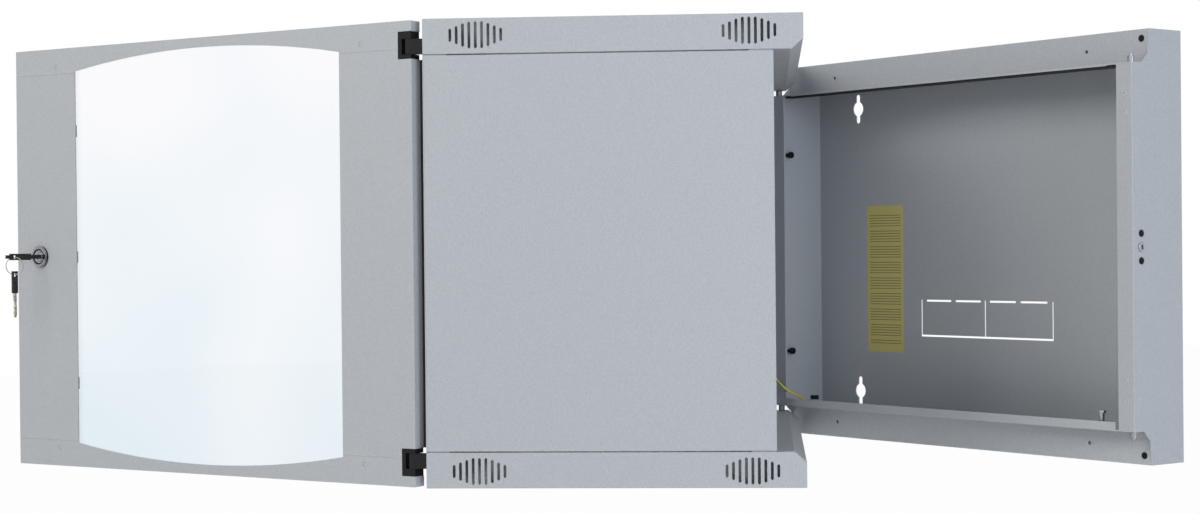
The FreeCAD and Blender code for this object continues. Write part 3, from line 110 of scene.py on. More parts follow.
def finish_part(name, body, material, fold=1.3, edge=0.3, steps=2):
    """Rounds a node: folds take the first radius, cut edges the second, both in millimetres."""
    bpy.ops.object.select_all(action="DESELECT")
    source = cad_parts[name]
    part = bpy.data.objects.new(name + "_finished", source.data.copy())
    part.data.transform(source.matrix_world)
    bpy.context.collection.objects.link(part)
    part.select_set(True)
    bpy.context.view_layer.objects.active = part
    bpy.ops.object.mode_set(mode="EDIT")
    bpy.ops.mesh.select_all(action="SELECT")
    bpy.ops.mesh.remove_doubles(threshold=0.000002)
    bpy.ops.mesh.dissolve_limited(angle_limit=math.radians(0.8))
    bpy.ops.object.mode_set(mode="OBJECT")
    mesh = bmesh.new()
    mesh.from_mesh(part.data)
    weights = mesh.edges.layers.float.new("bevel_weight_edge")
    for side in mesh.edges:
        if len(side.link_faces) == 2 and side.calc_face_angle(0) > math.radians(20):
            thin = min(2 * face.calc_area() / face.calc_perimeter() for face in side.link_faces)
            folded = side.is_convex and thin > 1.2 * SHEET
            side[weights] = 1.0 if folded else min(1.0, edge / fold)
    mesh.to_mesh(part.data)
    mesh.free()
    bevel = part.modifiers.new("rounding", "BEVEL")
    bevel.limit_method = "WEIGHT"
    bevel.width = fold / 1000
    bevel.segments = steps
    bpy.ops.object.modifier_apply(modifier=bevel.name)
    bpy.ops.object.shade_smooth()
    flat = part.modifiers.new("flat_faces", "WEIGHTED_NORMAL")
    flat.keep_sharp = True
    bpy.ops.object.modifier_apply(modifier=flat.name)
    part.data.materials.clear()
    part.data.materials.append(material)
    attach(part, body)
    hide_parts(name)
    return part


for name in ("wall_side_left", "wall_side_right"):
    finish_part(name, "wall_section", powder_coat)

# The walls of the four small flange holes are painted near-black as painted shade, so that the holes show as black
# dots.
FLANGE_HOLE_X, FLANGE_HOLE_Z, FLANGE_HOLE_REACH = 0.211, 0.224, 0.0024
# Painted shade: near-black for the hole walls, in place of the coat's grey.
hole_walls_painted_shade = finish_surface(start_material("flange_hole_painted_shade"), "#101011", "#1a1a1b", 1.0, (0.6, 0.75), 0.02)
pan = finish_part("wall_back", "wall_section", powder_coat)
pan.data.materials.append(hole_walls_painted_shade)
for face in pan.data.polygons:
    beside_hole = (abs(abs(face.center.x) - FLANGE_HOLE_X) < FLANGE_HOLE_REACH
                   and abs(abs(face.center.z) - FLANGE_HOLE_Z) < FLANGE_HOLE_REACH)
    if beside_hole and abs(face.normal.y) < 0.7:
        face.material_index = 1

# Resistance-weld marks where the right side wall's return is joined to the jamb: low rings, 6 mm across.
WELD_X, WELD_Y = 0.290, -0.0851
for height in (0.170, 0.149, -0.150, -0.170):
    bpy.ops.object.select_all(action="DESELECT")
    bpy.ops.mesh.primitive_cylinder_add(vertices=24, radius=0.003, depth=0.0003, location=(0, 0, 0))
    dimple = bpy.context.object
    dimple.name = "weld_dimple"
    bpy.ops.object.mode_set(mode="EDIT")
    bpy.ops.mesh.select_all(action="DESELECT")
    faces_of_mark = bmesh.from_edit_mesh(dimple.data)
    for face in faces_of_mark.faces:
        face.select_set(face.normal.z > 0.9)
    bmesh.update_edit_mesh(dimple.data)
    bpy.ops.mesh.inset(thickness=0.0009, depth=0.0006)
    bpy.ops.mesh.inset(thickness=0.0009, depth=-0.0006)
    bpy.ops.object.mode_set(mode="OBJECT")
    bpy.ops.object.shade_smooth_by_angle(angle=math.radians(50))
    dimple.data.transform(Matrix.Translation((WELD_X, WELD_Y, height)) @ Matrix.Rotation(math.radians(90), 4, "X"))
    dimple.data.materials.append(powder_coat)
    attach(dimple, "wall_section")


# Cabinet body, folded steel
# Two covers with vent slots, two side panels and four posts, all of the same coated sheet.
# The covers are pans whose corners are welded; the panels lie flush between them.

for name in ("top_cover", "bottom_cover", "front_post_left", "front_post_right",
             "rear_post_left", "rear_post_right"):
    finish_part(name, "cabinet_body", powder_coat)

# The panels stop 1.2 mm short of the covers' edges, which shows as a dark line.
PANEL_SHARE = 0.9965
for name in ("side_panel_left", "side_panel_right"):
    panel = finish_part(name, "cabinet_body", powder_coat)
    panel.data.transform(Matrix.Diagonal((1, 1, PANEL_SHARE, 1)))


# Racking
# Square-hole mounting rails and the tubes that carry them, in bright zinc-plated sheet.
# Rolled or folded, plated and clipped in; hexagon bolts hold the rails to the tubes.

# Zinc-plated steel: a cool silver with cloudy crystals about 9 mm across, drawn at 6 mm.
zinc_parts = start_material("bright_zinc_plate")
zinc_parts[2].inputs["Metallic"].default_value = 1.0
zinc_plate = finish_surface(zinc_parts, "#9da0a3", "#b6b9bb", 6.0, (0.3, 0.44), 0.01)

for name in ("depth_rails_left", "depth_rails_right", "mounting_rail_front_left", "mounting_rail_front_right",
             "mounting_rail_rear_left", "mounting_rail_rear_right"):
    finish_part(name, "cabinet_body", zinc_plate, fold=1.0, edge=0.25)
for name in ("rail_bolts", "latch_keeper", "body_earth_stud"):
    finish_part(name, "cabinet_body", zinc_plate, fold=0.5, edge=0.3)


# Door
# Two upright strips and two rails of coated sheet round a curved pane.
# The rails' edges are cut to the arcs of the pane and riveted to the strips.

for name in ("door_strip_hinge_side", "door_strip_lock_side", "door_rail_top", "door_rail_bottom"):
    finish_part(name, "door", powder_coat)
finish_part("door_rivets", "door", powder_coat, fold=0.8, edge=0.5)

# Extruded rubber gasket: dull near-black, slightly paler where it is rubbed.
rubber = finish_surface(start_material("extruded_rubber"), "#131314", "#1c1c1e", 0.8, (0.6, 0.75), 0.05)
finish_part("glass_gasket", "door", rubber, fold=0.3, edge=0.3)

# Toughened clear glass, 4 mm float: almost colourless; its colour is a painted reflection, near-white at the top and
# a faint cool blue lower down, broken by broad noise.
glass, tree, shader, place = start_material("toughened_glass")
shader.inputs["Transmission Weight"].default_value = 1.0
shader.inputs["IOR"].default_value = 1.45
shader.inputs["Roughness"].default_value = 0.0
# Painted reflection: the base colour follows the glass's height plus noise.
painted_reflection_noise = add_node(tree, "ShaderNodeTexNoise", {"Scale": 4.0, "Detail": 1.0}, {"Vector": place})
upright = add_node(tree, "ShaderNodeSeparateXYZ", {}, {"Vector": place})
height = add_node(tree, "ShaderNodeMath", {"operation": "MULTIPLY_ADD", 1: 1.6, 2: 0.1}, {0: upright.outputs["Z"]})
depth = add_node(tree, "ShaderNodeMath", {"operation": "ADD"}, {0: height.outputs[0], 1: painted_reflection_noise.outputs["Fac"]})
tree.links.new(two_tones(tree, depth.outputs[0], "#e4eff6", "#fafafc", 0.2, 0.9), shader.inputs["Base Color"])
finish_part("door_glass", "door", glass, fold=0.4, edge=0.4)
for name in ("glass_clips", "clip_screws"):
    finish_part(name, "door", zinc_plate, fold=0.5, edge=0.25)


# Door hinges
# Black die-cast corner blocks in the door, each with a pin through the body's knuckle.
# The block wraps the door's corner; the knuckle fills its notch with a hair of play.

# Zinc die casting under black coating: soft satin black, paler on the handled knuckle.
casting, knuckle = start_material("black_coated_casting"), start_material("black_knuckle")
for material_parts in (casting, knuckle):
    material_parts[2].inputs["Specular IOR Level"].default_value = 0.2
block_black = finish_surface(casting, "#0c0c0d", "#161617", 1.5, (0.36, 0.5), 0.04)
knuckle_black = finish_surface(knuckle, "#151516", "#202022", 1.5, (0.4, 0.55), 0.04)
for name in ("hinge_block_top", "hinge_block_bottom"):
    finish_part(name, "door", block_black, fold=0.8, edge=0.5)
for name in ("door_knuckle_top", "door_knuckle_bottom"):
    finish_part(name, "cabinet_body", knuckle_black, fold=0.8, edge=0.5)
finish_part("door_hinge_pins", "door", zinc_plate, fold=0.4, edge=0.3)


# Swing pins and small steel parts of the wall section
# Pins that the body turns on, the post and stud on the bottom shelf, and the latch's plug and hook.
# Turned or cut from bar and zinc-plated, then screwed or welded to the pan.

# Bare turned steel, oiled: a little darker than the plated parts.
bare_parts = start_material("oiled_turned_steel")
bare_parts[2].inputs["Metallic"].default_value = 1.0
bare_steel = finish_surface(bare_parts, "#85888b", "#9ea1a4", 2.0, (0.32, 0.44), 0.004)
finish_part("swing_pins", "wall_section", bare_steel, fold=0.5, edge=0.3)
for name in ("shelf_post", "earth_stud", "latch_bracket"):
    finish_part(name, "wall_section", zinc_plate, fold=0.5, edge=0.3)

# The knobs' lug plates are painted with the wall that they are welded to.
finish_part("knob_plates", "wall_section", powder_coat, fold=0.5, edge=0.3)
for name in ("latch_plug", "latch_hook"):
    finish_part(name, "side_latch", zinc_plate, fold=0.5, edge=0.3)
finish_part("earth_nut", "wall_section", block_black, fold=0.6, edge=0.3)

# Foam seal strip under the top shelf: open-cell, charcoal, quite dull.
foam = finish_surface(start_material("open_cell_foam"), "#19191a", "#2e2e30", 1.4, (0.88, 0.97), 0.3)
strip = finish_part("seal_strip_top", "wall_section", foam, fold=0.8, edge=0.8)

# The strip is 6.5 mm tall as cut and squeezed to 3 mm under the shelf, so it shows as a thin dark line.
SQUEEZE = 3.0 / 6.5
strip_top = max(corner.co.z for corner in strip.data.vertices)
for corner in strip.data.vertices:
    corner.co.z = strip_top + (corner.co.z - strip_top) * SQUEEZE


# Door seal and painted gap shade
# A black rubber bulb strip on the front post's face, just inside the door's hinge-side return.
# Extruded and stuck on; it shows as the black line between the open door and the body, and it also stands in as
# painted shade for the shadowed gap there.

BODY_TURN = Matrix.Translation((-0.294, -0.0788, 0)) @ Matrix.Rotation(
    math.radians(-41), 4, "Z") @ Matrix.Translation((0.294, 0.0788, 0))
SEAL_RADIUS, SEAL_HALF = 0.006, 0.2075
bpy.ops.object.select_all(action="DESELECT")
bpy.ops.mesh.primitive_cylinder_add(vertices=24, radius=SEAL_RADIUS, depth=2 * SEAL_HALF, location=(0, 0, 0))
seal_and_gap_shade = bpy.context.object
seal_and_gap_shade.name = "door_seal_and_gap_shade"
bpy.ops.object.mode_set(mode="EDIT")
bpy.ops.mesh.select_all(action="SELECT")
bpy.ops.mesh.bisect(plane_co=(0, -0.0001, 0), plane_no=(0, 1, 0), use_fill=True, clear_outer=True)
bpy.ops.object.mode_set(mode="OBJECT")
bpy.ops.object.shade_smooth_by_angle(angle=math.radians(40))
seal_and_gap_shade.data.transform(BODY_TURN @ Matrix.Translation((0.281, -0.461, 0)))
seal_and_gap_shade.data.materials.append(rubber)
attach(seal_and_gap_shade, "cabinet_body")


# Black screws and knobs of the wall section
# Four pan-head screws in the flange corners, two beside the latch, and two knobs on the left wall.
# Cold-headed steel with a cross recess under a black finish; the knobs are turned and ribbed.

def start_turned(name, radius, base, height, sides):
    """A turned piece along Z, in millimetres, left in edit mode."""
    bpy.ops.object.select_all(action="DESELECT")
    bpy.ops.mesh.primitive_cylinder_add(vertices=sides, radius=radius / 1000, depth=height / 1000,
                                        location=(0, 0, (base + height / 2) / 1000))
    piece = bpy.context.object
    piece.name = name
    bpy.ops.object.transform_apply(location=True, rotation=False, scale=False)
    bpy.ops.object.mode_set(mode="EDIT")
    return piece


def pick_faces(piece, test):
    """Selects only the faces whose centre and normal pass the test."""
    mesh = bmesh.from_edit_mesh(piece.data)
    bpy.ops.mesh.select_all(action="DESELECT")
    for face in mesh.faces:
        if test(face.calc_center_median(), face.normal):
            face.select_set(True)
    bmesh.update_edit_mesh(piece.data)


def turn_step(piece, way, inset, rise):
    """Narrows the end face at the top (1) or the bottom (-1) and moves it outwards, in millimetres."""
    pick_faces(piece, lambda centre, normal: normal.z * way > 0.99 and centre.xy.length < 0.00001)
    if inset:
        bpy.ops.mesh.inset(thickness=inset / 1000, depth=0)
    bpy.ops.mesh.extrude_region_move(TRANSFORM_OT_translate={"value": (0, 0, way * rise / 1000)})


def cut_box(piece, size, middle):
    """Cuts a box out of the piece, in millimetres."""
    bpy.ops.object.select_all(action="DESELECT")
    bpy.ops.mesh.primitive_cube_add(size=0.001)
    cutter = bpy.context.object
    cutter.data.transform(Matrix.Translation([value / 1000 for value in middle]) @ Matrix.Diagonal((*size, 1)))
    hole = piece.modifiers.new("recess", "BOOLEAN")
    hole.object = cutter
    hole.solver = "EXACT"
    bpy.context.view_layer.objects.active = piece
    bpy.ops.object.modifier_apply(modifier=hole.name)
    bpy.data.objects.remove(cutter)


def round_and_smooth(piece, width, angle=35):
    bevel = piece.modifiers.new("rounding", "BEVEL")
    bevel.limit_method = "ANGLE"
    bevel.angle_limit = math.radians(angle)
    bevel.width = width / 1000
    bevel.segments = 2
    bpy.ops.object.select_all(action="DESELECT")
    piece.select_set(True)
    bpy.context.view_layer.objects.active = piece
    bpy.ops.object.modifier_apply(modifier=bevel.name)
    bpy.ops.object.shade_smooth_by_angle(angle=math.radians(40))


def copy_to_places(model, places, material, body, node):
    """Sets one copy of the model at each place, joined into one piece that stands for the node."""
    copies = []
    for place in places:
        copy = bpy.data.objects.new(node + "_detailed", model.data.copy())
        copy.data.transform(place)
        copy.data.materials.clear()
        copy.data.materials.append(material)
        bpy.context.collection.objects.link(copy)
        copies.append(copy)
    bpy.data.objects.remove(model)
    bpy.ops.object.select_all(action="DESELECT")
    for copy in copies:
        copy.select_set(True)
    bpy.context.view_layer.objects.active = copies[0]
    if len(copies) > 1:
        bpy.ops.object.join()
    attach(copies[0], body)
    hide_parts(node)
    return copies[0]


def pan_screw(name, height, reach):
    """Cross-recess pan head, 8 mm across, with its shank."""
    screw = start_turned(name, 4, 0, 0.5 * height, 32)
    turn_step(screw, 1, 0.9, 0.3 * height)
    turn_step(screw, 1, 1.2, 0.2 * height)
    turn_step(screw, -1, 2.0, reach)
    bpy.ops.object.mode_set(mode="OBJECT")
    for size in ((3.8, 0.8, height), (0.8, 3.8, height)):
        cut_box(screw, size, (0, 0, 0.75 * height))
    round_and_smooth(screw, 0.12)
    return screw


FACING_FRONT = Matrix.Rotation(math.radians(90), 4, "X")
FACING_RIGHT = Matrix.Rotation(math.radians(90), 4, "Y")
corners = [Matrix.Translation((x, -0.055, z)) @ FACING_FRONT
           for x in (-0.2894, 0.2894) for z in (-0.2331, 0.2331)]
copy_to_places(pan_screw("corner_screw", 0.7, 6), corners, block_black, "wall_section", "flange_screws")
beside_latch = [Matrix.Translation((0.3, -0.071, z)) @ FACING_RIGHT for z in (-0.01525, 0.01525)]
copy_to_places(pan_screw("latch_screw", 1.5, 4.5), beside_latch, block_black, "wall_section", "latch_screws")

knob = start_turned("knob", 2, -1.5, 9.0, 20)
turn_step(knob, 1, 0.4, 0.2)
bpy.ops.object.mode_set(mode="OBJECT")
head = start_turned("knob_head", 4.4, 7.5, 3.6, 20)
turn_step(head, 1, 0.8, 0.6)
turn_step(head, 1, 1.0, 0.3)
turn_step(head, -1, 1.4, 0.0)
bpy.ops.object.mode_set(mode="OBJECT")
for turn in range(10):
    turned = Matrix.Rotation(math.radians(36 * turn), 4, "Z")
    head.data.transform(turned.inverted())
    cut_box(head, (0.5, 0.7, 8), (4.4, 0, 10))
    head.data.transform(turned)
round_and_smooth(head, 0.15)
bpy.ops.object.select_all(action="DESELECT")
head.select_set(True)
knob.select_set(True)
bpy.context.view_layer.objects.active = knob
bpy.ops.object.join()
stalks = [Matrix.Translation((-0.2985, -0.063, z)) @ FACING_RIGHT for z in (0.127, -0.1335)]
copy_to_places(knob, stalks, block_black, "wall_section", "knob_screws")


# Label plate
# A plain pale yellow film on the back panel, printed with generic ruled lines.
# Cut from sheet and stuck down flat; its rules stand for no words.

# Printed film: matt pale yellow with olive rules, 0.8 mm thick and 3.4 mm apart, in blocks of five.
RULE_PITCH, RULE_SHARE, ROWS_IN_BLOCK = 3.4, 0.24, 6.0
label_film, tree, shader, place = start_material("printed_yellow_film")
axes = add_node(tree, "ShaderNodeSeparateXYZ", {}, {"Vector": place})
down = add_node(tree, "ShaderNodeMath", {"operation": "MULTIPLY_ADD", 1: 1000 / RULE_PITCH, 2: 1000.0},
                {0: axes.outputs["Z"]}).outputs[0]
row = add_node(tree, "ShaderNodeMath", {"operation": "FRACT"}, {0: down}).outputs[0]
inked = add_node(tree, "ShaderNodeMath", {"operation": "LESS_THAN", 1: RULE_SHARE}, {0: row}).outputs[0]
block = add_node(tree, "ShaderNodeMath", {"operation": "MODULO", 1: ROWS_IN_BLOCK}, {0: down}).outputs[0]
kept = add_node(tree, "ShaderNodeMath", {"operation": "GREATER_THAN", 1: 1.0}, {0: block}).outputs[0]
printed = add_node(tree, "ShaderNodeMath", {"operation": "MULTIPLY"}, {0: inked, 1: kept}).outputs[0]
LABEL_MIDDLE, LABEL_HALF = (-0.175, -0.038), (0.0285, 0.086)
inside = printed
for axis, middle, half in (("X", LABEL_MIDDLE[0], LABEL_HALF[0]), ("Z", LABEL_MIDDLE[1], LABEL_HALF[1])):
    shifted = add_node(tree, "ShaderNodeMath", {"operation": "SUBTRACT", 1: middle}, {0: axes.outputs[axis]})
    away = add_node(tree, "ShaderNodeMath", {"operation": "ABSOLUTE"}, {0: shifted.outputs[0]})
    near = add_node(tree, "ShaderNodeMath", {"operation": "LESS_THAN", 1: half}, {0: away.outputs[0]})
    inside = add_node(tree, "ShaderNodeMath", {"operation": "MULTIPLY"}, {0: inside, 1: near.outputs[0]}).outputs[0]
ink = add_node(tree, "ShaderNodeMix", {"data_type": "RGBA", 6: linear("#d2c577"), 7: linear("#6d673c")},
               {0: inside})
tree.links.new(ink.outputs[2], shader.inputs["Base Color"])
film = add_node(tree, "ShaderNodeTexNoise", {"Scale": 300.0}, {"Vector": place})
matt = add_node(tree, "ShaderNodeMapRange", {"To Min": 0.45, "To Max": 0.6}, {"Value": film.outputs["Fac"]})
tree.links.new(matt.outputs["Result"], shader.inputs["Roughness"])
finish_part("label_plate", "wall_section", label_film, fold=0.1, edge=0.1, steps=1)


# Lock
# A chrome cylinder lock through the door's free strip, with a domed rim and a turning plug.
# Turned from brass, polished and chromed; a nut clamps it and a cam on the plug's rear latches.

# Polished chrome with faint handling marks, its colour darkened well below a bright mirror's as a painted dark
# reflection.
chrome_parts = start_material("chrome_painted_dark_reflection")
chrome_parts[2].inputs["Metallic"].default_value = 1.0
chrome = finish_surface(chrome_parts, "#84878b", "#999ca0", 3.0, (0.06, 0.13), 0.002)

# The rim is a raised ring, a groove and a domed middle round the plug's bore; the groove and the rim's outer skirt
# are painted black as painted shade. Steps of 0.01 mm set in the ring and the groove's floor without raising them.
DOOR_TURN = BODY_TURN @ Matrix.Translation((0.2945, -0.4755, 0)) @ Matrix.Rotation(
    math.radians(62.4), 4, "Z") @ Matrix.Translation((-0.2945, 0.4755, 0))
LOCK_PLACE = DOOR_TURN @ Matrix.Translation((-0.2587, -0.479, 0.001)) @ FACING_FRONT
rim = start_turned("lock_rim", 12.75, 0, 2.4, 64)
turn_step(rim, 1, 0.9, 1.0)
turn_step(rim, 1, 0.7, 0.5)
turn_step(rim, 1, 1.3, -0.01)
turn_step(rim, 1, 0.5, -2.2)
turn_step(rim, 1, 1.4, -0.01)
turn_step(rim, 1, 0.3, 1.6)
turn_step(rim, 1, 0.9, 0.5)
turn_step(rim, -1, 3.75, 22)
bpy.ops.object.mode_set(mode="OBJECT")
bpy.ops.object.select_all(action="DESELECT")
bpy.ops.mesh.primitive_cylinder_add(vertices=64, radius=0.0061, depth=0.08)
bore = bpy.context.object
through = rim.modifiers.new("bore", "BOOLEAN")
through.object = bore
through.solver = "EXACT"
bpy.context.view_layer.objects.active = rim
bpy.ops.object.modifier_apply(modifier=through.name)
bpy.data.objects.remove(bore)
round_and_smooth(rim, 0.25, 50)
rim = copy_to_places(rim, [LOCK_PLACE], chrome, "door", "lock_body")
rim.data.materials.append(block_black)
# Painted shade: the groove's faces and the rim's outer skirt take the black casting finish.
groove = LOCK_PLACE.inverted()
for face in rim.data.polygons:
    centre = groove @ face.center
    groove_painted_shade = 7.0 < centre.xy.length * 1000 < 9.5 and 0 < centre.z * 1000 < 3.0
    skirt_painted_shade = centre.xy.length * 1000 > 12.4 and centre.z * 1000 < 2.3
    if groove_painted_shade or skirt_painted_shade:
        face.material_index = 1
finish_part("lock_nut", "door", zinc_plate, fold=0.6, edge=0.3)
finish_part("lock_plug", "lock_core", chrome, fold=0.5, edge=0.2, steps=3)
for name in ("lock_cam", "cam_screw"):
    finish_part(name, "lock_core", zinc_plate, fold=0.5, edge=0.3)


# Keys and ring
# One key sits in the lock, a spare hangs from it on a wire ring.
# Nickel-plated blades with moulded black heads.

# Nickel plate over brass: warm silver, lightly scratched.
nickel_parts = start_material("nickel_plated_brass")
nickel_parts[2].inputs["Metallic"].default_value = 1.0
nickel = finish_surface(nickel_parts, "#b3ab9c", "#c8c2b6", 1.2, (0.2, 0.34), 0.004)
moulded = finish_surface(start_material("moulded_black_plastic"), "#0e0e0f", "#1a1a1b", 0.9, (0.4, 0.55), 0.05)
finish_part("key_head", "key", moulded, fold=0.7, edge=0.4, steps=3)
finish_part("spare_key_head", "spare_key", moulded, fold=0.7, edge=0.4, steps=3)


def cut_blade(name, length, places, body, node):
    """A flat key blade along Z from 0 down, 2 mm thick and 4.4 mm tall, with its cuts and milled groove."""
    bpy.ops.object.select_all(action="DESELECT")
    bpy.ops.mesh.primitive_cube_add(size=0.001)
    blade = bpy.context.object
    blade.name = name
    blade.data.transform(Matrix.Translation((0, 0, -length / 2000)) @ Matrix.Diagonal((2, 4.4, length, 1)))
    bpy.ops.object.mode_set(mode="EDIT")
    depths = (0, 0, 0.9, 0.9, 1.5, 1.5, 0.5, 0.5, 1.2, 1.2, 0.3, 0.9)
    step = 0.72 * length / len(depths)
    for index in range(len(depths)):
        bpy.ops.mesh.select_all(action="SELECT")
        bpy.ops.mesh.bisect(plane_co=(0, 0, -(0.2 * length + index * step) / 1000), plane_no=(0, 0, 1))
    mesh = bmesh.from_edit_mesh(blade.data)
    for vertex in mesh.verts:
        index = round((-vertex.co.z * 1000 - 0.2 * length) / step)
        if vertex.co.y < 0 and 0 <= index < len(depths) and vertex.co.z * 1000 > 0.5 - length:
            vertex.co.y += depths[index] / 1000
    for vertex in mesh.verts:
        if vertex.co.z * 1000 < 0.5 - length:
            vertex.co.y *= 0.45
    bmesh.update_edit_mesh(blade.data)
    bpy.ops.object.mode_set(mode="OBJECT")
    for side in (1, -1):
        cut_box(blade, (0.5, 0.8, length), (side * 1.0, 0.9, -length / 2))
    round_and_smooth(blade, 0.12)
    return copy_to_places(blade, places, nickel, body, node)


HANGING = DOOR_TURN @ Matrix.Translation((-0.2587, -0.5205, -0.0419))
cut_blade("spare_blade", 29, [HANGING], "spare_key", "spare_key_blade")
IN_LOCK = DOOR_TURN @ Matrix.Translation((-0.2587, -0.4835, 0.001)) @ FACING_FRONT
cut_blade("turning_blade", 25.2, [IN_LOCK], "key", "key_blade")

# Moulded ribs across both faces of each grip.
for body, first, along, count in (("key", Vector((-0.2587, -0.4985, 0.001)), Vector((0, -1, 0)), 6),
                                  ("spare_key", Vector((-0.2587, -0.5205, -0.0250)), Vector((0, 0, -1)), 5)):
    across = Vector((0, 0, 1)) if along.z == 0 else Vector((0, 1, 0))
    ribs = []
    for index in range(count):
        bpy.ops.object.select_all(action="DESELECT")
        bpy.ops.mesh.primitive_cube_add(size=0.001)
        rib = bpy.context.object
        middle = first + along * (0.0032 * index if body == "key" else 0.003 * index)
        shape = Matrix((Vector((3.8, 0, 0)), along * 1.3, across * 6.0)).transposed().to_4x4()
        rib.data.transform(Matrix.Translation(middle) @ shape)
        round_and_smooth(rib, 0.3)
        ribs.append(rib)
    bpy.ops.object.select_all(action="DESELECT")
    for rib in ribs:
        rib.select_set(True)
    bpy.context.view_layer.objects.active = ribs[0]
    bpy.ops.object.join()
    grip = ribs[0]
    grip.name = body + "_grip_ribs"
    bpy.ops.object.mode_set(mode="EDIT")
    bpy.ops.mesh.select_all(action="SELECT")
    bpy.ops.mesh.normals_make_consistent(inside=False)
    bpy.ops.object.mode_set(mode="OBJECT")
    grip.data.transform(DOOR_TURN)
    grip.data.materials.append(moulded)
    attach(grip, body)

# Split ring: spring wire wound twice round, with a jog where it steps over itself.
RING_MIDDLE = Vector((-0.2587, -0.5205, -0.0097))
RING_YAW, RING_RADIUS, WIRE_THICK = math.radians(32), 0.0103, 0.00088
ring_axis = Vector((math.sin(RING_YAW), -math.cos(RING_YAW), 0))
ring_side = ring_axis.cross(Vector((0, 0, 1)))
coil = bpy.data.curves.new("split_ring", "CURVE")
coil.dimensions = "3D"
coil.bevel_depth = WIRE_THICK / 2
coil.bevel_resolution = 3
coil.use_fill_caps = True
strand = coil.splines.new("NURBS")
TURN_POINTS = 48
strand.points.add(2 * TURN_POINTS)
for index, point in enumerate(strand.points):
    share = index / TURN_POINTS
    jog = min(max((share - 0.92) / 0.16, 0), 1)
    aside = -0.00046 + 0.00092 * jog * jog * (3 - 2 * jog)
    round_it = 2 * math.pi * (share + 0.15)
    place = RING_MIDDLE + RING_RADIUS * (math.cos(round_it) * Vector((0, 0, 1)) + math.sin(round_it) * ring_side)
    point.co = (*(place + aside * ring_axis), 1)
strand.order_u = 3
strand.use_endpoint_u = True
ring = bpy.data.objects.new("split_ring", coil)
bpy.context.collection.objects.link(ring)
bpy.ops.object.select_all(action="DESELECT")
ring.select_set(True)
bpy.context.view_layer.objects.active = ring
bpy.ops.object.convert(target="MESH")
ring = bpy.context.object
ring.data.transform(DOOR_TURN)
bpy.ops.object.shade_smooth()
ring.data.materials.clear()
ring.data.materials.append(zinc_plate)
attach(ring, "ring")
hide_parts("key_ring")


# Earth wire
# A stranded copper wire in a green and yellow sleeve, from the shelf's stud to the body's stud.
# It is set where it lies at rest and follows neither body.

# Soft PVC sleeve: yellow with a green stripe along it.
sleeve = finish_surface(start_material("yellow_pvc_sleeve"), "#cdbf2c", "#e0d24a", 5.0, (0.38, 0.5), 0.02)
stripe = finish_surface(start_material("green_pvc_stripe"), "#3f7d2c", "#4f9338", 5.0, (0.38, 0.5), 0.02)
route = [(-243.0, -69.0, -198.3), (-252.0, -69.5, -198.3), (-262.0, -72.0, -194.5), (-269.5, -78.5, -189.5),
         (-274.5, -86.0, -184.5), (-277.5, -96.0, -176.0), (-277.0, -105.0, -167.0), (-281.0, -113.0, -158.5),
         (-285.0, -118.5, -153.0)]
line = bpy.data.curves.new("earth_wire", "CURVE")
line.dimensions = "3D"
line.bevel_depth = 0.0015
line.bevel_resolution = 4
line.use_fill_caps = True
run = line.splines.new("NURBS")
run.points.add(len(route) - 1)
for point, place in zip(run.points, route):
    point.co = (*[value / 1000 for value in place], 1)
run.order_u = 3
run.use_endpoint_u = True
run.resolution_u = 10
wire = bpy.data.objects.new("earth_wire_sleeve", line)
bpy.context.collection.objects.link(wire)
bpy.ops.object.select_all(action="DESELECT")
wire.select_set(True)
bpy.context.view_layer.objects.active = wire
bpy.ops.object.convert(target="MESH")
wire = bpy.context.object
bpy.ops.object.shade_smooth()
wire.data.materials.clear()
wire.data.materials.append(sleeve)
wire.data.materials.append(stripe)
for face in wire.data.polygons:
    if face.normal.z < -0.55:
        face.material_index = 1
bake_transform(wire)
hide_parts("earth_wire")


# Stage, light and camera
# A white floor well below, white behind, and soft lamps at the level that shows colours as written.
# The camera stands where the photograph was taken, worked out from the corners of the three sections.

FLOOR_DROP = 0.95
floor_material, tree, shader, place = start_material("white_floor")
shader.inputs["Base Color"].default_value = linear("#fafafa")
shader.inputs["Roughness"].default_value = 0.9
path = add_node(tree, "ShaderNodeLightPath", {}, {})
direct = add_node(tree, "ShaderNodeMath", {"operation": "MAXIMUM"},
                  {0: path.outputs["Is Camera Ray"], 1: path.outputs["Is Transmission Ray"]})
seen = add_node(tree, "ShaderNodeMath", {"operation": "MAXIMUM"},
                {0: direct.outputs[0], 1: path.outputs["Is Glossy Ray"]})
glow = add_node(tree, "ShaderNodeEmission", {"Color": linear("#ffffff"), "Strength": 1.0}, {})
blend = add_node(tree, "ShaderNodeMixShader", {}, {0: seen.outputs[0], 1: shader.outputs[0], 2: glow.outputs[0]})
faded = add_node(tree, "ShaderNodeMixShader", {0: 0.97}, {1: shader.outputs[0], 2: blend.outputs[0]})
tree.links.new(faded.outputs[0], tree.nodes["Material Output"].inputs["Surface"])
bpy.ops.object.select_all(action="DESELECT")
bpy.ops.mesh.primitive_plane_add(size=30)
floor = bpy.context.object
floor.name = "floor"
floor.data.transform(Matrix.Translation((0, 0, -FLOOR_DROP)))
floor.data.materials.append(floor_material)

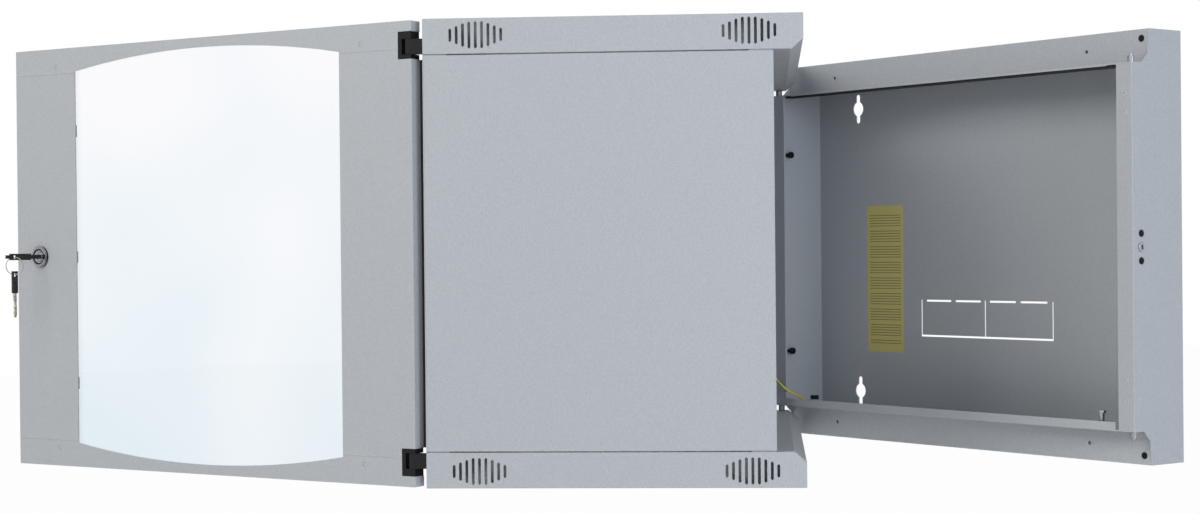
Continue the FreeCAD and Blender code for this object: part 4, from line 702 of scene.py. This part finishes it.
WORLD_FILL = 0.4
world = bpy.data.worlds.new("studio")
world.use_nodes = True
tree = world.node_tree
path = add_node(tree, "ShaderNodeLightPath", {}, {})
direct = add_node(tree, "ShaderNodeMath", {"operation": "MAXIMUM"},
                  {0: path.outputs["Is Camera Ray"], 1: path.outputs["Is Transmission Ray"]})
seen = add_node(tree, "ShaderNodeMath", {"operation": "MAXIMUM"},
                {0: direct.outputs[0], 1: path.outputs["Is Glossy Ray"]})
strength = add_node(tree, "ShaderNodeMapRange", {"To Min": WORLD_FILL, "To Max": 1.0}, {"Value": seen.outputs[0]})
tree.nodes["Background"].inputs["Color"].default_value = (1, 1, 1, 1)
tree.links.new(strength.outputs["Result"], tree.nodes["Background"].inputs["Strength"])
bpy.context.scene.world = world

for name, place, target, across, power, tint in (
        ("key", (0.3, -3.3, 1.8), (-0.5, -0.5, 0.0), 1.8, 48, "#fffdf9"),
        ("side", (2.1, -0.6, 0.3), (0.1, -0.4, 0.0), 0.8, 17, "#e7f0ff"),
        ("rear", (-1.6, 2.8, 1.7), (-0.1, -0.2, 0.0), 1.8, 26, "#ffffff")):  # for the views from behind
    lamp = bpy.data.lights.new(name, "AREA")
    lamp.shape = "SQUARE"
    lamp.size = across
    lamp.energy = power
    lamp.color = linear(tint)[:3]
    light = bpy.data.objects.new(name, lamp)
    bpy.context.collection.objects.link(light)
    aim = (Vector(target) - Vector(place)).to_track_quat("-Z", "Y")
    light.matrix_world = Matrix.Translation(place) @ aim.to_matrix().to_4x4()

FRAME_WIDTH, FRAME_HEIGHT = 1200.0, 514.0
FOCAL_PIXELS = 2137.2
CENTRE_ACROSS, CENTRE_DOWN = 610.6, 267.5
yaw, pitch, roll = math.radians(143.129), math.radians(-0.391), math.radians(-0.543)
lens = bpy.data.cameras.new("camera")
lens.sensor_fit = "HORIZONTAL"
lens.sensor_width = 36.0
lens.lens = 36.0 * FOCAL_PIXELS / FRAME_WIDTH
lens.shift_x = (FRAME_WIDTH / 2 - CENTRE_ACROSS) / FRAME_WIDTH
lens.shift_y = (CENTRE_DOWN - FRAME_HEIGHT / 2) / FRAME_WIDTH
forward = Vector((math.cos(pitch) * math.cos(yaw), math.cos(pitch) * math.sin(yaw), math.sin(pitch)))
level = forward.cross(Vector((0, 0, 1))).normalized()
upright = level.cross(forward)
right = math.cos(roll) * level + math.sin(roll) * upright
up = -math.sin(roll) * level + math.cos(roll) * upright
camera = bpy.data.objects.new("camera", lens)
bpy.context.collection.objects.link(camera)
camera.matrix_world = Matrix.Translation((1.8421, -1.9631, -0.0009)) @ Matrix(
    (right, up, -forward)).transposed().to_4x4()
bpy.context.scene.camera = camera

bpy.context.scene.view_settings.view_transform = "Standard"
